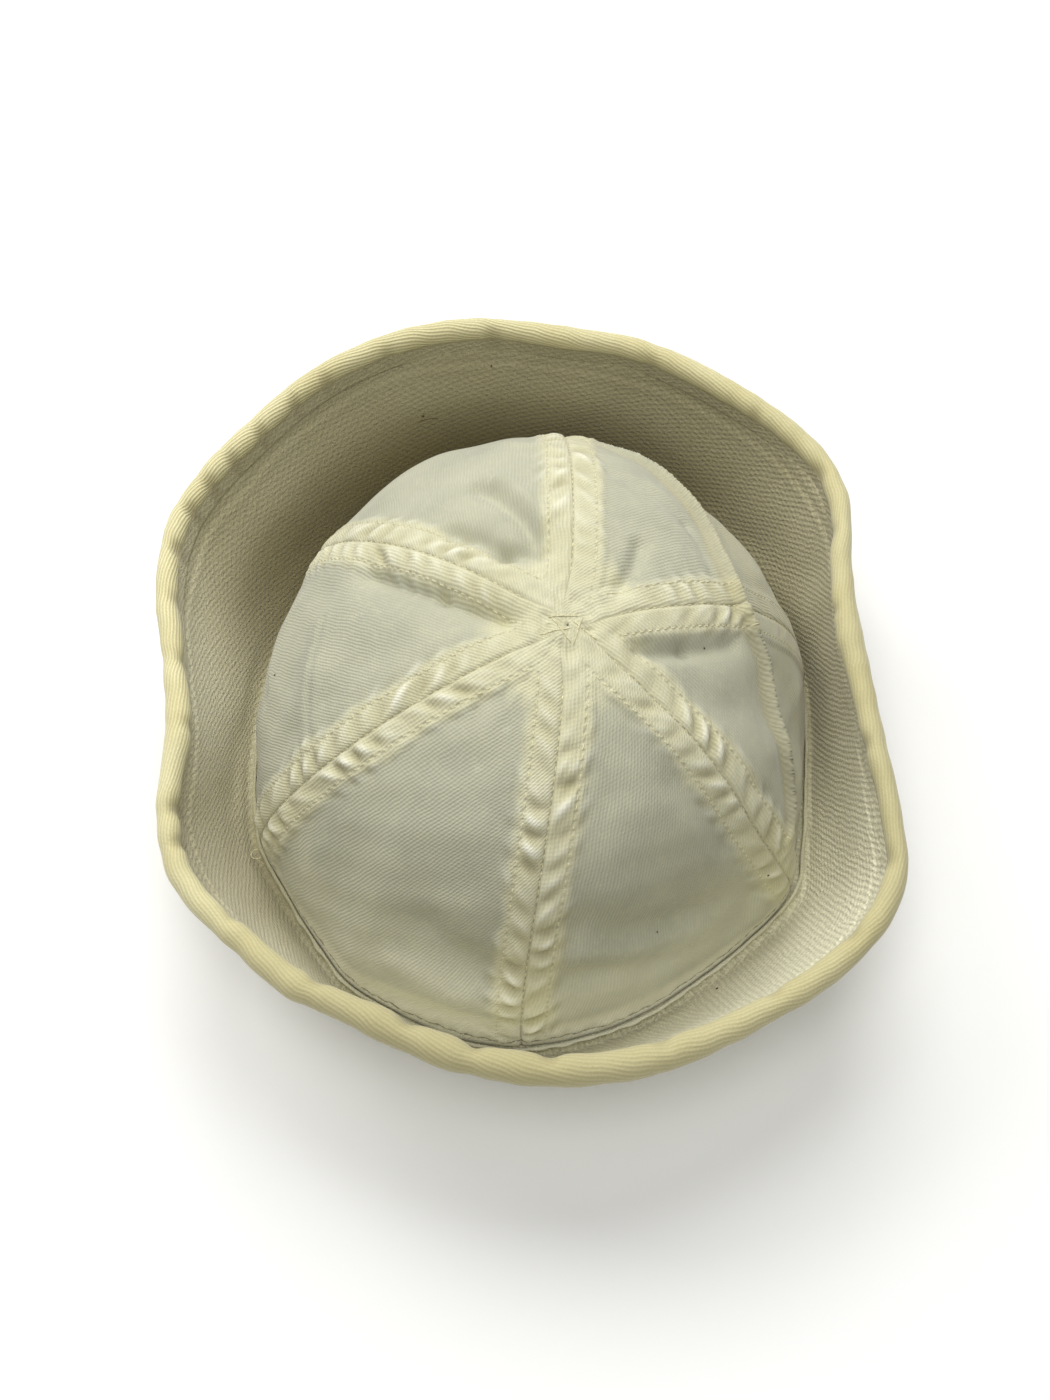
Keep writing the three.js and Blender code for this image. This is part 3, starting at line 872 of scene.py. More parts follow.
def twill(tree, cloth, degrees, pitch, wander, broken=0.35):
    """Height of a twill weave: slanting ridges, broken into single threads."""
    angle = math.radians(degrees)
    across = component(tree, cloth, (math.cos(angle), math.sin(angle), 0.0))
    along = component(tree, cloth, (-math.sin(angle), math.cos(angle), 0.0))
    drift = times(tree, noise(tree, cloth, scale=0.16, detail=2.0), wander)
    across = calculate(tree, "ADD", across, drift)
    ridge = calculate(tree, "SINE", times(tree, across, 2 * math.pi / pitch))
    slanted = calculate(tree, "ADD", along, times(tree, across, 0.6))
    thread = calculate(tree, "SINE", times(tree, slanted, 2 * math.pi / (pitch * 1.3)))
    return calculate(tree, "MULTIPLY_ADD", thread, broken, ridge)


def line(tree, value, centre, width):
    """1 where a value is at the centre, falling off softly over the width."""
    away = calculate(tree, "DIVIDE", calculate(tree, "SUBTRACT", value, centre), width)
    square = times(tree, away, away)
    return calculate(tree, "EXPONENT", times(tree, square, -1.0))


def dashes(tree, along, pitch):
    """1 halfway between two stitches and 0 under each stitch."""
    turn = calculate(tree, "MULTIPLY_ADD", along, 2 * math.pi / pitch, -math.pi / 2)
    return spread(tree, calculate(tree, "SINE", turn), -0.2, 0.7)


def bumped(tree, shader, height, distance):
    node = tree.nodes.new("ShaderNodeBump")
    node.inputs["Strength"].default_value = 1.0
    node.inputs["Distance"].default_value = distance
    socket(tree, node.inputs["Height"], height)
    tree.links.new(node.outputs["Normal"], shader.inputs["Normal"])


def cotton(name, roughness=0.9, sheen=0.25):
    """A new material with the even gloss of cotton cloth, its tree and its shader."""
    material = bpy.data.materials.new(name)
    material.use_nodes = True
    tree = material.node_tree
    shader = tree.nodes["Principled BSDF"]
    shader.inputs["Roughness"].default_value = roughness
    shader.inputs["Specular IOR Level"].default_value = 0.25
    shader.inputs["Sheen Weight"].default_value = sheen
    shader.inputs["Sheen Roughness"].default_value = 0.5
    return material, tree, shader


def shaded(tree, tint, share, darker):
    """A colour, darkened towards a named one where share is high."""
    return blend(tree, share, tint, colour(darker))


def soft_patches(tree, cloth, scale):
    """The share of a second tone, in large soft patches."""
    return spread(tree, noise(tree, cloth, scale=scale, detail=4.0), 0.35, 0.65)


def crown_material():
    material, tree, shader = cotton("crown_cotton")
    cloth = vector_field(tree, "cloth")
    seam = vector_field(tree, "seam")
    distance = component(tree, seam, (1.0, 0.0, 0.0))
    along = component(tree, seam, (0.0, 1.0, 0.0))
    ribbed = component(tree, seam, (0.0, 0.0, 1.0))
    weave = twill(tree, cloth, degrees=23, pitch=0.95, wander=1.2)
    fibres = noise(tree, cloth, scale=2.2, detail=3.0)
    frayed = calculate(tree, "MULTIPLY_ADD", noise(tree, cloth, scale=0.35, detail=5.0), 1.0, -0.5)
    cream = calculate(tree, "ADD", value_field(tree, "cream"), frayed)
    patches = soft_patches(tree, cloth, scale=0.045)
    cool = blend(tree, patches, colour("cool_dark"), colour("cool_light"))
    warm = blend(tree, patches, colour("warm_light"), colour("warm_dark"))
    base = blend(tree, spread(tree, cream, 0.0, 1.0), cool, warm)
    ridges = spread(tree, weave, -1.3, 1.3, 1.0, 0.0)
    contrast = calculate(tree, "MULTIPLY_ADD", ribbed, 0.4, 0.2)
    base = shaded(tree, base, times(tree, ridges, contrast), "twill_valley")
    base = shaded(tree, base, spread(tree, fibres, 0.4, 0.8, 0.0, 0.2), "fibre")
    # Painted shade where the shadow field is above 0, painted light where it is below 0
    painted_shade = value_field(tree, "shadow")
    base = shaded(tree, base, spread(tree, painted_shade, 0.0, 1.0, 0.0, 0.5), "painted_shade")
    base = blend(tree, spread(tree, painted_shade, -1.0, 0.0, 0.95, 0.0), base, colour("painted_light"))
    # Painted shade in the stitch holes beside the seams
    holes = times(tree, line(tree, distance, EDGE_STITCH, 0.45), dashes(tree, along, STITCH_PITCH))
    patchy = spread(tree, noise(tree, cloth, scale=0.12, detail=2.0), 0.4, 0.65, 0.04, 0.22)
    base = shaded(tree, base, times(tree, holes, patchy), "stitch_hole_shade")
    fading = spread(tree, along, 3.0, 16.0, 0.1, 0.32)
    fading = times(tree, fading, calculate(tree, "SUBTRACT", 1.0, ribbed))
    middle = times(tree, line(tree, distance, 0.0, 0.3), fading)
    base = shaded(tree, base, middle, "seam_line")
    wavering = calculate(tree, "MULTIPLY_ADD", noise(tree, cloth, scale=0.7, detail=2.0), HEM_WAVER, along)
    hem_line = line(tree, wavering, CROWN_SLOPE - HEM_STITCH + HEM_WAVER / 2, 0.4)
    base = shaded(tree, base, times(tree, hem_line, 0.75), "hem_line")
    tree.links.new(base, shader.inputs["Base Color"])
    rough = calculate(tree, "MULTIPLY_ADD", fibres, 2.0, weave)
    rough = calculate(tree, "MULTIPLY_ADD", holes, -4.0, rough)
    bumped(tree, shader, rough, CROWN_BUMP)
    return material


def coarse_twill(tree, cloth, slant, coarse, pale):
    """Colour and height of the brim's coarse twill."""
    weave = twill(tree, slant, degrees=44, pitch=1.6, wander=1.6, broken=0.9)
    grains = noise(tree, cloth, scale=1.5, detail=4.0)
    patches = soft_patches(tree, cloth, scale=0.03)
    base = blend(tree, patches, colour("brim_light"), colour("brim_dark"))
    # Painted light above 0 and painted shade below 0, deepest below -1
    base = blend(tree, spread(tree, pale, 0.0, 1.0), base, colour("brim_painted_light"))
    base = blend(tree, spread(tree, pale, -1.0, 0.0, 1.0, 0.0), base, colour("brim_painted_shade"))
    base = blend(tree, spread(tree, pale, -2.0, -1.0, 1.0, 0.0), base, colour("brim_shadow"))
    valleys = spread(tree, weave, -1.6, 1.0, 0.5, 0.0)
    base = shaded(tree, base, times(tree, valleys, coarse), "brim_valley")
    base = shaded(tree, base, spread(tree, grains, 0.42, 0.7, 0.0, 0.42), "brim_grain")
    height = times(tree, weave, coarse)
    return base, calculate(tree, "MULTIPLY_ADD", grains, 3.0, height)


def brim_material():
    material, tree, shader = cotton("brim_twill", 0.95, 0.3)
    cloth = vector_field(tree, "cloth")
    slant = vector_field(tree, "slant")
    coarse = value_field(tree, "coarse")
    pale = value_field(tree, "pale")
    base, height = coarse_twill(tree, cloth, slant, coarse, pale)
    tree.links.new(base, shader.inputs["Base Color"])
    bumped(tree, shader, height, BRIM_BUMP)
    return material


def rim_material():
    material, tree, shader = cotton("rim_twill", 0.9, 0.3)
    cloth = vector_field(tree, "cloth")
    tail = value_field(tree, "tail")
    slant = vector_field(tree, "slant")
    coarse = value_field(tree, "coarse")
    pale = value_field(tree, "pale")
    ribbed = value_field(tree, "ribbed")
    ribs = twill(tree, cloth, degrees=80, pitch=1.05, wander=0.4, broken=0.15)
    weave = times(tree, ribs, ribbed)
    fibres = noise(tree, cloth, scale=1.6, detail=3.0)
    patches = soft_patches(tree, cloth, scale=0.05)
    base = blend(tree, patches, colour("roll_light"), colour("roll_dark"))
    # Painted shade on the roll, most at the front
    dull = value_field(tree, "dull")
    base = shaded(tree, base, dull, "roll_painted_shade")
    base = shaded(tree, base, spread(tree, weave, -1.2, 0.8, 0.5, 0.0), "roll_rib")
    base = shaded(tree, base, spread(tree, fibres, 0.42, 0.78, 0.0, 0.25), "roll_fibre")
    flat_base, flat_height = coarse_twill(tree, cloth, slant, coarse, pale)
    base = blend(tree, tail, base, flat_base)
    # Painted shade in the notches where the roll is pinched
    painted_notch_shade = value_field(tree, "painted_notch_shade")
    base = shaded(tree, base, spread(tree, painted_notch_shade, 0.06, 0.4, 0.0, 0.75), "roll_notch_shade")
    # Painted shade: the dark line under the roll, where it meets its tail
    edge = times(tree, tail, calculate(tree, "SUBTRACT", 1.0, tail))
    base = shaded(tree, base, times(tree, edge, 2.0), "under_roll_shade")
    tree.links.new(base, shader.inputs["Base Color"])
    height = calculate(tree, "MULTIPLY_ADD", fibres, 1.5, weave)
    height = blend(tree, tail, height, times(tree, flat_height, 2.9))
    bumped(tree, shader, height, RIM_BUMP)
    return material


def thread_material():
    material, tree, shader = cotton("sewing_thread", 0.7, 0.3)
    place = tree.nodes.new("ShaderNodeTexCoord").outputs["Object"]
    twist = noise(tree, place, scale=1800.0, detail=2.0)
    base = blend(tree, spread(tree, twist, 0.35, 0.7), colour("thread_light"), colour("thread_dark"))
    tree.links.new(base, shader.inputs["Base Color"])
    bumped(tree, shader, twist, THREAD_BUMP)
    return material


def lint_material():
    material, tree, shader = cotton("dark_lint", 0.9, 0.0)
    place = tree.nodes.new("ShaderNodeTexCoord").outputs["Object"]
    tone = spread(tree, noise(tree, place, scale=2500.0, detail=2.0), 0.35, 0.7)
    tree.links.new(
        blend(tree, tone, colour("lint_dark"), colour("lint_light")), shader.inputs["Base Color"]
    )
    return material


# The pieces

def gore_grid(number):
    """Azimuths and climbs of one gore's grid, from seam line to seam line."""
    share = STAR_HOLE / (FOOT_WIDTH / 2)
    star_climb = math.acos(share ** (DOME_POWER / 2)) * 2 / math.pi
    climb = np.linspace(0, star_climb, GORE_ROWS)[:, None]
    first = seam_azimuth(number, climb)
    last = seam_azimuth((number + 1) % SEAM_COUNT, climb)
    turn = np.mod(last - first, 360)
    azimuth = first + turn * np.linspace(0, 1, GORE_COLUMNS)[None]
    return azimuth, np.broadcast_to(climb, azimuth.shape)


def cloth_places(azimuth, climb):
    """Flat cloth coordinates of a grid, in millimetres, from its middle line."""
    points = dome_point(azimuth, climb)
    across = np.linalg.norm(np.diff(points, axis=1), axis=2).cumsum(axis=1)
    across = np.concatenate([np.zeros((len(points), 1)), across], axis=1)
    across -= across[:, -1:] / 2
    middle = points[:, points.shape[1] // 2]
    down = np.linalg.norm(np.diff(middle, axis=0), axis=1)[::-1].cumsum()[::-1]
    down = np.append(down, 0)[:, None]
    return np.stack([across, np.broadcast_to(down, across.shape), np.zeros_like(across)], -1)


def hem_depth(climb):
    height = CROWN_HEIGHT * np.sin(climb * math.pi / 2) ** (2 / DOME_POWER)
    return HEM_CLOTH * (1 - smoothstep(height, HEM_HEIGHT - HEM_STEP, HEM_HEIGHT))


def crown_fields(azimuth, climb, number):
    """What the crown's material reads from a piece: its cloth, its seam lines and the painted shade and
    light in its hollows, above the crease and at its front.
    """
    distance, _, _ = seam_place(azimuth, climb)
    along = np.broadcast_to(from_star(climb), azimuth.shape)
    return {
        "cloth": cloth_places(azimuth, climb) + [0, 0, number * GORE_STEP],
        "seam": np.stack([distance, along, strip_share(azimuth, climb)], -1),
        "shadow": shadow_share(azimuth, climb),
        "cream": np.ones(azimuth.shape),
    }


def make_gore(number, material):
    azimuth, climb = gore_grid(number)
    outer = crown_points(azimuth, climb, 0)
    inner = crown_points(azimuth, climb, CROWN_CLOTH + hem_depth(climb))
    fields = crown_fields(azimuth, climb, number)
    fields["cream"] = creaminess(azimuth, climb)
    piece = shell_piece(f"crown_gore_{number + 1}", outer, inner, fields, material)
    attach(piece, "root")
    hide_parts(f"gore_{number + 1}")


def make_seam(number, material):
    """The allowances pressed open under one seam, parted along its middle."""
    low = (HEM_HEIGHT / CROWN_HEIGHT) ** (DOME_POWER / 2)
    climb = np.linspace(math.asin(low) * 2 / math.pi, STRIP_TOP, GORE_ROWS // 2)[:, None]
    middle = seam_azimuth(number, climb)
    reach = dome_radius(middle, climb)
    half = np.minimum(SEAM_WIDTH / 2, SEAM_TAPER * reach)
    offset = half * np.linspace(-1, 1, STRIP_COLUMNS)[None]
    azimuth = middle + np.degrees(offset / reach)
    climb = np.broadcast_to(climb, azimuth.shape)
    part = SEAM_PARTING * bell(offset, 0.6)
    top = CROWN_CLOTH + GAP / 2
    outer = crown_points(azimuth, climb, top)
    inner = crown_points(azimuth, climb, top + SEAM_CLOTH - part)
    fields = crown_fields(azimuth, climb, 10 + number)
    piece = shell_piece(f"seam_allowance_{number + 1}", outer, inner, fields, material)
    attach(piece, "root")
    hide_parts(f"seam_{number + 1}")


def ring_azimuths():
    return np.arange(RING_SECTIONS) * 360 / RING_SECTIONS


def evened(outline, count):
    """Closed outlines, section by section, with their points spread out evenly."""
    spaced = []
    for points in outline:
        closed = np.concatenate([points, points[:1]])
        step = np.linalg.norm(np.diff(closed[:, :2], axis=0), axis=1)
        place = np.concatenate([[0], step.cumsum()])
        wanted = np.linspace(0, place[-1], count, endpoint=False)
        spaced.append(np.stack([np.interp(wanted, place, values) for values in closed.T], -1))
    return np.array(spaced)


def softened(outline, passes):
    for _ in range(passes):
        outline = (
            np.roll(outline, 1, axis=1) + 2 * outline + np.roll(outline, -1, axis=1)
        ) / 4
    return outline


def brim_line(azimuth):
    """The brim's middle line: a bowed curve from the folded foot to the middle of the roll."""
    lean = around(RIM, "lean", azimuth)
    reach = foot_radius(azimuth) + CHANNEL_WIDTH
    start = np.stack([reach, np.full_like(reach, BRIM_CLOTH * BRIM_FOOT)], -1)
    slope = np.stack([lean, np.sqrt(1 - lean**2)], -1)
    end = start + slope * BRIM_WIDTH
    outwards = np.stack([slope[:, 1], -slope[:, 0]], -1)
    belly = start + (end - start) * BRIM_BELLY + outwards * BRIM_BOW
    roll = ROLL_DIAMETER / 2 * around(RIM, "roll", azimuth)
    return start, belly, end, roll


def curve_at(start, belly, end, share):
    """Points and directions of the brim's middle line at shares of its length."""
    share = share[..., None]
    start, belly, end = start[:, None], belly[:, None], end[:, None]
    point = (1 - share) ** 2 * start + 2 * share * (1 - share) * belly + share**2 * end
    tangent = (1 - share) * (belly - start) + share * (end - belly)
    tangent /= np.linalg.norm(tangent, axis=-1, keepdims=True)
    return point, tangent


def ring_lengths(points):
    """Length along a ring up to each section, and once round at the end."""
    closed = np.concatenate([points, points[:1]])
    return np.concatenate([[0], np.linalg.norm(np.diff(closed, axis=0), axis=1).cumsum()])


def flat_twill(piece, azimuth, up, inner):
    """Give a ring the brim's twill as each half lies flat: an arc of cloth with a straight grain."""
    ends = np.array([0, 1, 1, 0])
    count = up.shape[1]
    section = np.arange(RING_SECTIONS)[:, None, None] + ends
    corner = (np.arange(count)[:, None] + [0, 0, 1, 1]) % count
    height = up[section % RING_SECTIONS, corner[None]]
    inner = inner[section % RING_SECTIONS, corner[None]]
    turn = section * 360 / RING_SECTIONS
    middle = (azimuth + 180 / RING_SECTIONS)[:, None, None]
    second = (middle > BRIM_SEAMS[0]) & (middle < BRIM_SEAMS[1])
    centre = sum(BRIM_SEAMS) / 2 - np.where(second, 0, 180)
    sweep = np.radians(between(turn, centre)) * ARC_SHARE
    reach = FOOT_WIDTH / 2 / ARC_SHARE + height
    across = np.where(second, -1, 1) * reach * np.sin(sweep)
    slant = stacked(across, reach * np.cos(sweep), height * 0)
    coarse = np.broadcast_to(around(BRIM_LOOK, "coarse", turn), height.shape)
    # Painted shade low on the inner face behind the crown
    painted_crown_shade = bell(between(turn, BACK_MIDDLE), BACK_SPREAD) * (1 - smoothstep(height, 12, 38))
    pale = around(BRIM_LOOK, "pale", turn) - 1.5 * painted_crown_shade * inner
    attributes = piece.data.attributes
    attributes.new("slant", "FLOAT_VECTOR", "CORNER").data.foreach_set("vector", slant.ravel())
    attributes.new("coarse", "FLOAT", "CORNER").data.foreach_set("value", coarse.ravel())
    attributes.new("pale", "FLOAT", "CORNER").data.foreach_set("value", pale.ravel())


def ring_places(azimuth, radius, height):
    """Points on an upright round wall, at which smooth noise is read."""
    ring = np.radians(azimuth)
    return stacked(np.cos(ring) * radius, np.sin(ring) * radius, height)


def brim_waves(azimuth, up):
    """Slack of the brim's cloth, at a length up from its foot."""
    spot = ring_places(azimuth, BRIM_RING, up)
    body = smoothstep(up, 4, 12) * (1 - smoothstep(up, 46, 50))
    return body * (0.5 * ripple(spot, size=46, seed=22) + 0.16 * ripple(spot, size=17, seed=23))


def make_brim(material):
    azimuth = ring_azimuths()
    start, belly, end, roll = brim_line(azimuth)
    last = 1 - (roll + GAP) / BRIM_WIDTH
    share = last[:, None] * np.linspace(0, 1, WALL_STEPS)[None]
    point, tangent = curve_at(start, belly, end, share)
    towards_crown = np.stack([-tangent[..., 1], tangent[..., 0]], -1) * BRIM_CLOTH / 2
    foot = foot_radius(azimuth)
    inside = foot - CROWN_CLOTH - HEM_CLOTH
    top = FOOT_BASE - GAP

    def corner(reach, height):
        return stacked(reach, height, 0.0, 0.0)[:, None]

    def face(points, side):
        marks = np.stack([share * BRIM_WIDTH, np.full_like(share, side)], -1)
        return np.concatenate([points, marks], -1)

    outline = np.concatenate([
        corner(inside, top),
        corner(inside, FOLD_ROUND),
        corner(inside + FOLD_ROUND * 0.3, FOLD_ROUND * 0.3),
        corner(inside + FOLD_ROUND, 0),
        corner(inside + FOLD_ROUND + FOLD_FLAT, 0),
        face(point - towards_crown, -1),
        face(point + towards_crown, 1)[:, ::-1],
        corner(foot + CHANNEL_WIDTH * CHANNEL_FLAT, BRIM_CLOTH),
        corner(foot + GAP, top),
    ], axis=1)
    outline = softened(evened(outline, BRIM_POINTS), 2)
    outline[..., 1] = np.maximum(outline[..., 1], 0)
    up, side = outline[..., 2], outline[..., 3]
    flow = np.roll(outline[..., :2], -1, axis=1) - np.roll(outline[..., :2], 1, axis=1)
    flow /= np.linalg.norm(flow, axis=-1, keepdims=True)
    outwards = np.stack([flow[..., 1], -flow[..., 0]], -1)
    place = ring_places(azimuth[:, None], BRIM_RING, up)
    seam_line = last[:, None] * BRIM_WIDTH - TAIL_WIDTH - 1.2 + 0.4 * ripple(place, size=22, seed=21)
    ridge = 0.25 * bell(up - seam_line, 1.2, centre=-2)
    groove = ridge - 0.5 * bell(up - seam_line, 0.7)
    waves = brim_waves(azimuth[:, None], up)
    lift = np.where(side > 0, side * (waves + groove), side * (0.8 * waves - 0.4 * groove))
    outline[..., :2] += outwards * lift[..., None]
    points = placed(outline[..., 0], azimuth[:, None], outline[..., 1])
    along = ring_lengths(placed(foot + CHANNEL_WIDTH + 12, azimuth, 30.0))
    across = np.linspace(0, 1, BRIM_POINTS + 1) * BRIM_SECTION
    piece = ring_piece("brim_cloth", points, along, across, {}, material)
    flat_twill(piece, azimuth, up, np.clip(side, 0, 1))
    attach(piece, "root")
    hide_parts("brim")


def pinch(azimuth):
    total = np.zeros(azimuth.shape)
    for row in table_rows(PINCHES):
        total += PINCH_DEPTH * row["depth"] * bell(between(azimuth, row["azimuth"]), row["width"])
    return total


def make_rim(material):
    azimuth = ring_azimuths()
    start, belly, end, roll = brim_line(azimuth)
    _, tangent = curve_at(start, belly, end, np.ones((RING_SECTIONS, 1)))
    upwards = tangent[:, 0]
    towards_crown = np.stack([-upwards[:, 1], upwards[:, 0]], -1)
    tail_under = BRIM_CLOTH / 2 + GAP
    tail_over = tail_under + TAIL_CLOTH
    from_angle = np.arctan2(-np.sqrt(roll**2 - tail_under**2), tail_under)
    to_angle = np.arctan2(-np.sqrt(roll**2 - tail_over**2), tail_over)
    share = np.linspace(0, 1, WALL_STEPS)[None]
    sweep = from_angle[:, None] - share * (2 * math.pi - (to_angle - from_angle))[:, None]
    place = ring_places(azimuth[:, None], RIM_RING, RIM_RISE * share)
    inner_side = np.cos(sweep).clip(0, 1)
    joint = between(azimuth, ROLL_JOINT)[:, None] - JOINT_SLANT * share
    swell = 1 + 0.05 * ripple(place, size=30, seed=31) + 0.035 * ripple(place, size=10, seed=32)
    swell = swell - pinch(azimuth)[:, None] * (0.2 + 0.8 * inner_side)
    swell = swell - JOINT_DIP * bell(joint, JOINT_WIDTH)
    radius = roll[:, None] * swell

    def at(along, across, tail):
        along, across = np.asarray(along)[..., None], np.asarray(across)[..., None]
        spot = end[:, None] + upwards[:, None] * along + towards_crown[:, None] * across
        up = np.broadcast_to(BRIM_WIDTH + along, spot[..., :1].shape)
        inwards = np.broadcast_to(across, up.shape)
        return np.concatenate([spot, np.full_like(up, tail), up, inwards], axis=-1)

    tail_end = (-roll - TAIL_WIDTH)[:, None]
    tail_over = tail_over - 0.3 * pinch(azimuth)[:, None]
    steps = np.linspace(0, 1, 8)[None]
    start_height = radius[:, -1:] * np.sin(sweep[:, -1:])
    tail_top = at(start_height + (tail_end - start_height) * steps, tail_over - TAIL_SINK * steps, 1)
    tail_foot = at(tail_end + [[0.2, 0.6]], np.full((1, 2), tail_under), 1)
    outline = np.concatenate([
        at(radius * np.sin(sweep), radius * np.cos(sweep), 0), tail_top, tail_foot,
    ], axis=1)
    outline = softened(evened(outline, ROLL_POINTS), 1)
    points = placed(outline[..., 0], azimuth[:, None], outline[..., 1])
    along = ring_lengths(placed(end[:, 0], azimuth, end[:, 1]))
    across = np.linspace(0, 1, ROLL_POINTS + 1) * ROLL_SECTION
    ribbed = 0.4 + 0.6 * bell(between(azimuth, RIB_MIDDLE), RIB_SPREAD)
    # The roll's painted shade at the front and in its pinched notches
    fields = {
        "tail": outline[..., 2],
        "ribbed": np.broadcast_to(ribbed[:, None], outline.shape[:2]),
        "dull": np.broadcast_to(around(BRIM_LOOK, "dull", azimuth)[:, None], outline.shape[:2]),
        "painted_notch_shade": pinch(azimuth)[:, None] * np.clip(outline[..., 4] / roll[:, None], 0, 1),
    }
    piece = ring_piece("rim_roll", points, along, across, fields, material)
    flat_twill(piece, azimuth, outline[..., 3], outline[..., 2])
    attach(piece, "root")
    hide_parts("rolled_rim")


def make_lip(material):
    azimuth = ring_azimuths()
    ring = np.radians(azimuth)
    place = LIP_RING * np.stack([np.cos(ring), np.sin(ring)], -1)
    front = bell(between(azimuth, LIP_FRONT), 42)
    inner = foot_radius(azimuth) + 0.2 + 0.3 * front + 0.05 * ripple(place, size=6, seed=41)
    top = FOOT_BASE + LIP_HEIGHT + (0.2 + 0.3 * front) * ripple(place, size=9, seed=42) - 0.4 * front
    lean = LIP_LEAN * (2 * front - 0.25) + 0.15 * front * ripple(place, size=14, seed=43)
    thick = LIP_CLOTH * (0.85 + 0.15 * ripple(place, size=7, seed=44))

    def wall(away):
        return [
            (inner + away + lean * share**2, FOOT_BASE + (top - FOOT_BASE) * share)
            for share in np.linspace(0, 1, 6)
        ]

    rows = wall(thick) + wall(0)[::-1]
    outline = np.stack([np.stack(row, -1) for row in rows], axis=1)
    outline = softened(evened(outline, LIP_POINTS), 2)
    points = placed(outline[..., 0], azimuth[:, None], outline[..., 1])
    along = ring_lengths(placed(inner, azimuth, FOOT_BASE))
    every = np.ones(points.shape[:2])
    # Painted light on the front of the lip, as the shadow field below 0
    fields = {"cream": every, "shadow": -0.6 * every * front[:, None]}
    across = np.linspace(0, 1, LIP_POINTS + 1) * LIP_SECTION
    piece = ring_piece("foot_lip_cloth", points, along, across, fields, material)
    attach(piece, "root")
    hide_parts("foot_lip")


def brim_inside(azimuth, climb):
    """Points on the brim's inner face."""
    start, belly, end, _ = brim_line(azimuth)
    point, tangent = curve_at(start, belly, end, climb[:, None])
    inwards = np.stack([-tangent[:, 0, 1], tangent[:, 0, 0]], -1)
    away = BRIM_CLOTH / 2 + brim_waves(azimuth, climb * BRIM_WIDTH) + FIBRE_RISE
    spot = point[:, 0] + inwards * away[:, None]
    return placed(spot[:, 0], azimuth, spot[:, 1])


def crown_outside(azimuth, climb):
    return crown_points(azimuth, climb, -FIBRE_RISE)


def make_lint(name, lint, place, tall, material):
    """Short, slightly bent fibres that lie on a surface, which place() gives."""
    parts = []
    for fibre in table_rows(lint):
        along = np.linspace(-0.5, 0.5, 7) * fibre["length"]
        bend = 0.12 * fibre["length"] * np.cos(along / fibre["length"] * math.pi)
        turn = math.radians(fibre["turn"])
        across = along * math.cos(turn) - bend * math.sin(turn)
        rise = along * math.sin(turn) + bend * math.cos(turn)
        azimuth = fibre["azimuth"] + np.degrees(across / FOOT_LENGTH * 2)
        path = place(azimuth, fibre["climb"] + rise / tall)
        parts.append(thread_tube(path, fibre["thick"]))
    thread_piece(name, parts, material)


def make_loose_thread(material):
    """A loop of sewing thread that stands out over the lip."""
    turn = np.linspace(-0.8, 0.8, 20) * math.pi
    reach = foot_radius(LOOP_AZIMUTH) + LIP_CLOTH + LOOP_RADIUS * (1 + np.cos(turn))
    azimuth = LOOP_AZIMUTH + np.degrees(LOOP_RADIUS * np.sin(turn) / reach)
    height = FOOT_BASE + LIP_HEIGHT + THREAD + 0.3 * np.sin(2 * turn)
    thread = thread_tube(placed(reach, azimuth, height), THREAD / 2)
    thread_piece("loose_thread", [thread], material)


def make_star_threads(material):
    """Straight threads that cross each other over the star."""
    parts = []
    for azimuth, away, to_azimuth, to_away in zip(*STAR_THREADS.values()):
        # Places round the star as complex numbers
        start = away * np.exp(1j * math.radians(azimuth))
        end = to_away * np.exp(1j * math.radians(to_azimuth))
        place = start + (end - start) * np.linspace(0, 1, 9)
        climb = 1 - np.abs(place) / CROWN_SLOPE
        path = crown_points(np.degrees(np.angle(place)), climb, -FIBRE_RISE)
        parts.append(thread_tube(path, THREAD / 2))
    thread_piece("star_threads", parts, material)


def seam_stitches(number, offset, material):
    """A row of stitches beside a seam line, or in its groove where offset is 0."""
    parts = []
    for stitch in range(int(from_star(STITCHES_FROM) / STITCH_PITCH)):
        away = stitch * STITCH_PITCH + np.linspace(-0.5, 0.5, len(STITCH_ARCH)) * STITCH_LENGTH
        climb = 1 - away / CROWN_SLOPE
        if climb.max() > STITCHES_TO:
            continue
        middle = seam_azimuth(number, climb)
        azimuth = middle + np.degrees(offset / dome_radius(middle, climb))
        path = crown_points(azimuth, climb, np.array(STITCH_ARCH))
        parts.append(thread_tube(path, THREAD / 2))
    row = {0: "middle", 1: "left", -1: "right"}[int(np.sign(offset))]
    thread_piece(f"stitches_{number + 1}_{row}", parts, material)


def make_cap():
    crown = crown_material()
    for number in range(SEAM_COUNT):
        make_gore(number, crown)
        make_seam(number, crown)
    make_brim(brim_material())
    make_rim(rim_material())
    make_lip(crown)
    thread = thread_material()
    for number in range(SEAM_COUNT):
        for offset in (0, EDGE_STITCH, -EDGE_STITCH):
            seam_stitches(number, offset, thread)
    make_loose_thread(thread)
    make_star_threads(thread)
    lint = lint_material()
    make_lint("crown_lint", CROWN_LINT, crown_outside, CROWN_SLOPE, lint)
    make_lint("brim_lint", BRIM_LINT, brim_inside, BRIM_WIDTH, lint)


# The floor, the lights and the camera

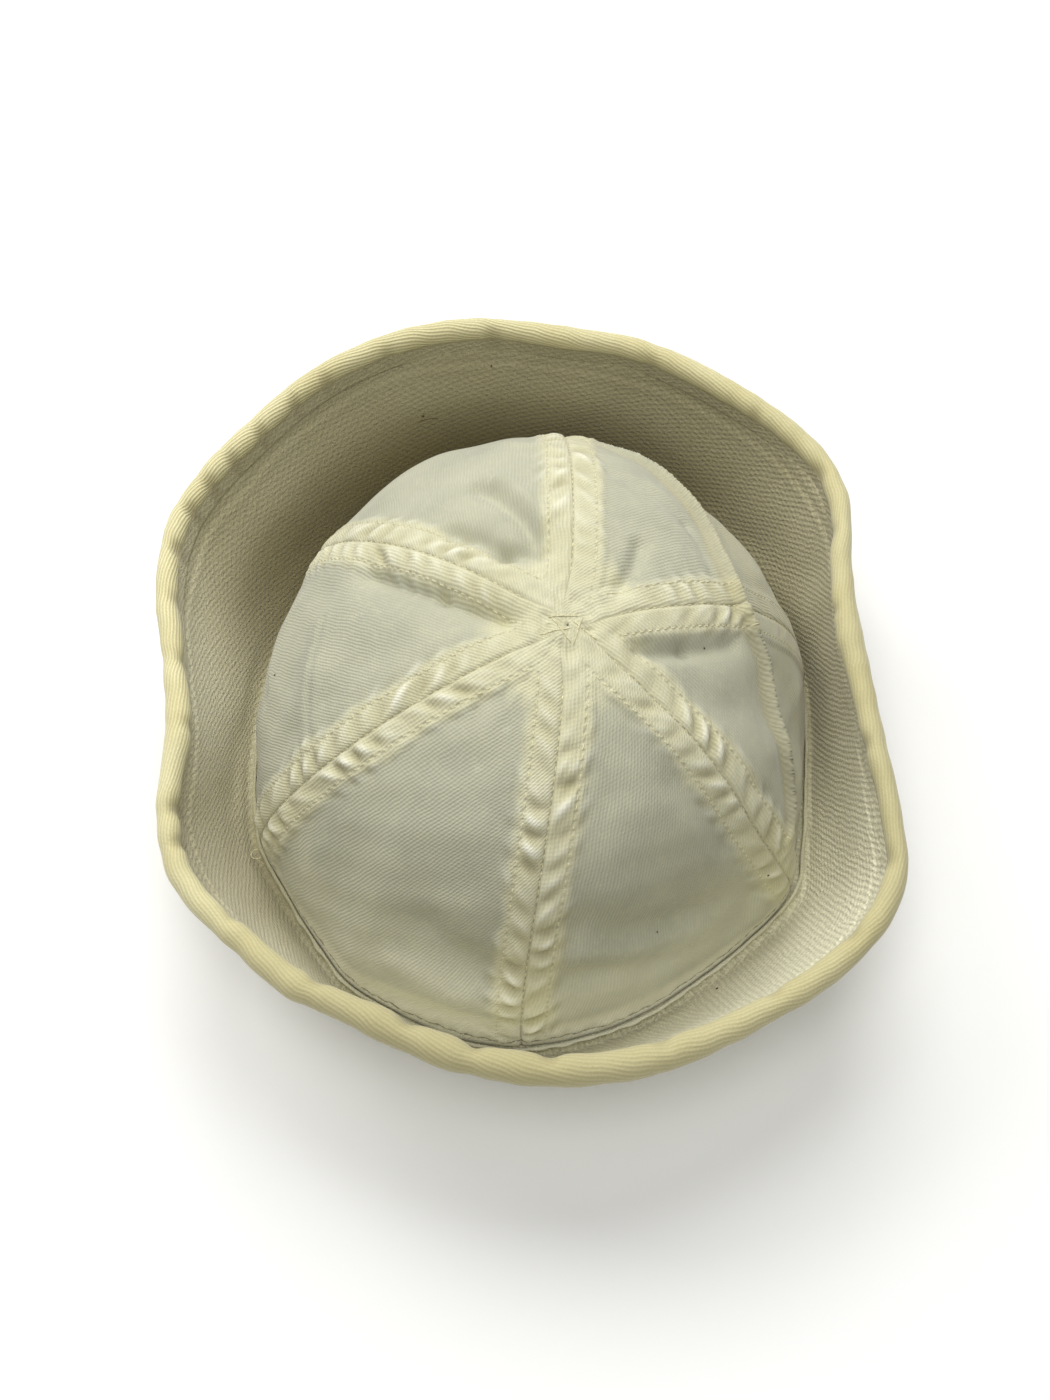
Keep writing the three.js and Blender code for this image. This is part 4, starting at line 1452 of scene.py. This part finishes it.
def make_floor():
    mesh = bpy.data.meshes.new("floor")
    corners = [
        (FLOOR_HALF * x, FLOOR_HALF * y, 0) for x, y in ((-1, -1), (1, -1), (1, 1), (-1, 1))
    ]
    mesh.from_pydata(corners, [], [(0, 1, 2, 3)])
    floor = bpy.data.objects.new("floor", mesh)
    bpy.context.scene.collection.objects.link(floor)
    material, tree, shader = cotton("pale_floor", 0.95, 0.0)
    place = tree.nodes.new("ShaderNodeTexCoord").outputs["Object"]
    tone = spread(tree, noise(tree, place, scale=3.0), 0.3, 0.7)
    base = blend(tree, tone, colour("floor_dark"), colour("floor_light"))
    tree.links.new(base, shader.inputs["Base Color"])
    mesh.materials.append(material)


def area_light(name, place, size, power):
    data = bpy.data.lights.new(name, "AREA")
    data.shape = "DISK"
    data.size = size
    data.energy = power
    light = bpy.data.objects.new(name, data)
    light.location = place
    towards = np.array(LIGHT_TARGET) - np.array(place)
    light.rotation_euler = Vector(towards).to_track_quat("-Z", "Y").to_euler()
    bpy.context.scene.collection.objects.link(light)


def make_lights():
    area_light("window_high", (0.0, 0.9, 1.2), size=1.0, power=13)
    area_light("window_low", (0.0, 1.3, 0.7), size=0.8, power=3)
    area_light("back_left", (-0.9, 0.9, 1.0), size=0.8, power=9)
    area_light("front", (-0.1, -0.5, 1.4), size=1.0, power=6.5)
    area_light("ceiling", (0.0, -0.2, 1.5), size=1.0, power=3)
    world = bpy.data.worlds.new("studio")
    world.use_nodes = True
    background = world.node_tree.nodes["Background"]
    background.inputs["Color"].default_value = (1.0, 1.0, 1.0, 1.0)
    background.inputs["Strength"].default_value = SKY_STRENGTH
    bpy.context.scene.world = world
    bpy.context.scene.view_settings.view_transform = "Standard"


def make_camera():
    data = bpy.data.cameras.new("camera")
    data.lens = CAMERA_LENS
    data.sensor_width = CAMERA_SENSOR
    data.clip_start = 0.01
    camera = bpy.data.objects.new("camera", data)
    camera.location = CAMERA_PLACE
    camera.rotation_euler = (math.radians(CAMERA_TILT), 0, 0)
    bpy.context.scene.collection.objects.link(camera)
    bpy.context.scene.camera = camera


make_cap()
make_floor()
make_lights()
make_camera()
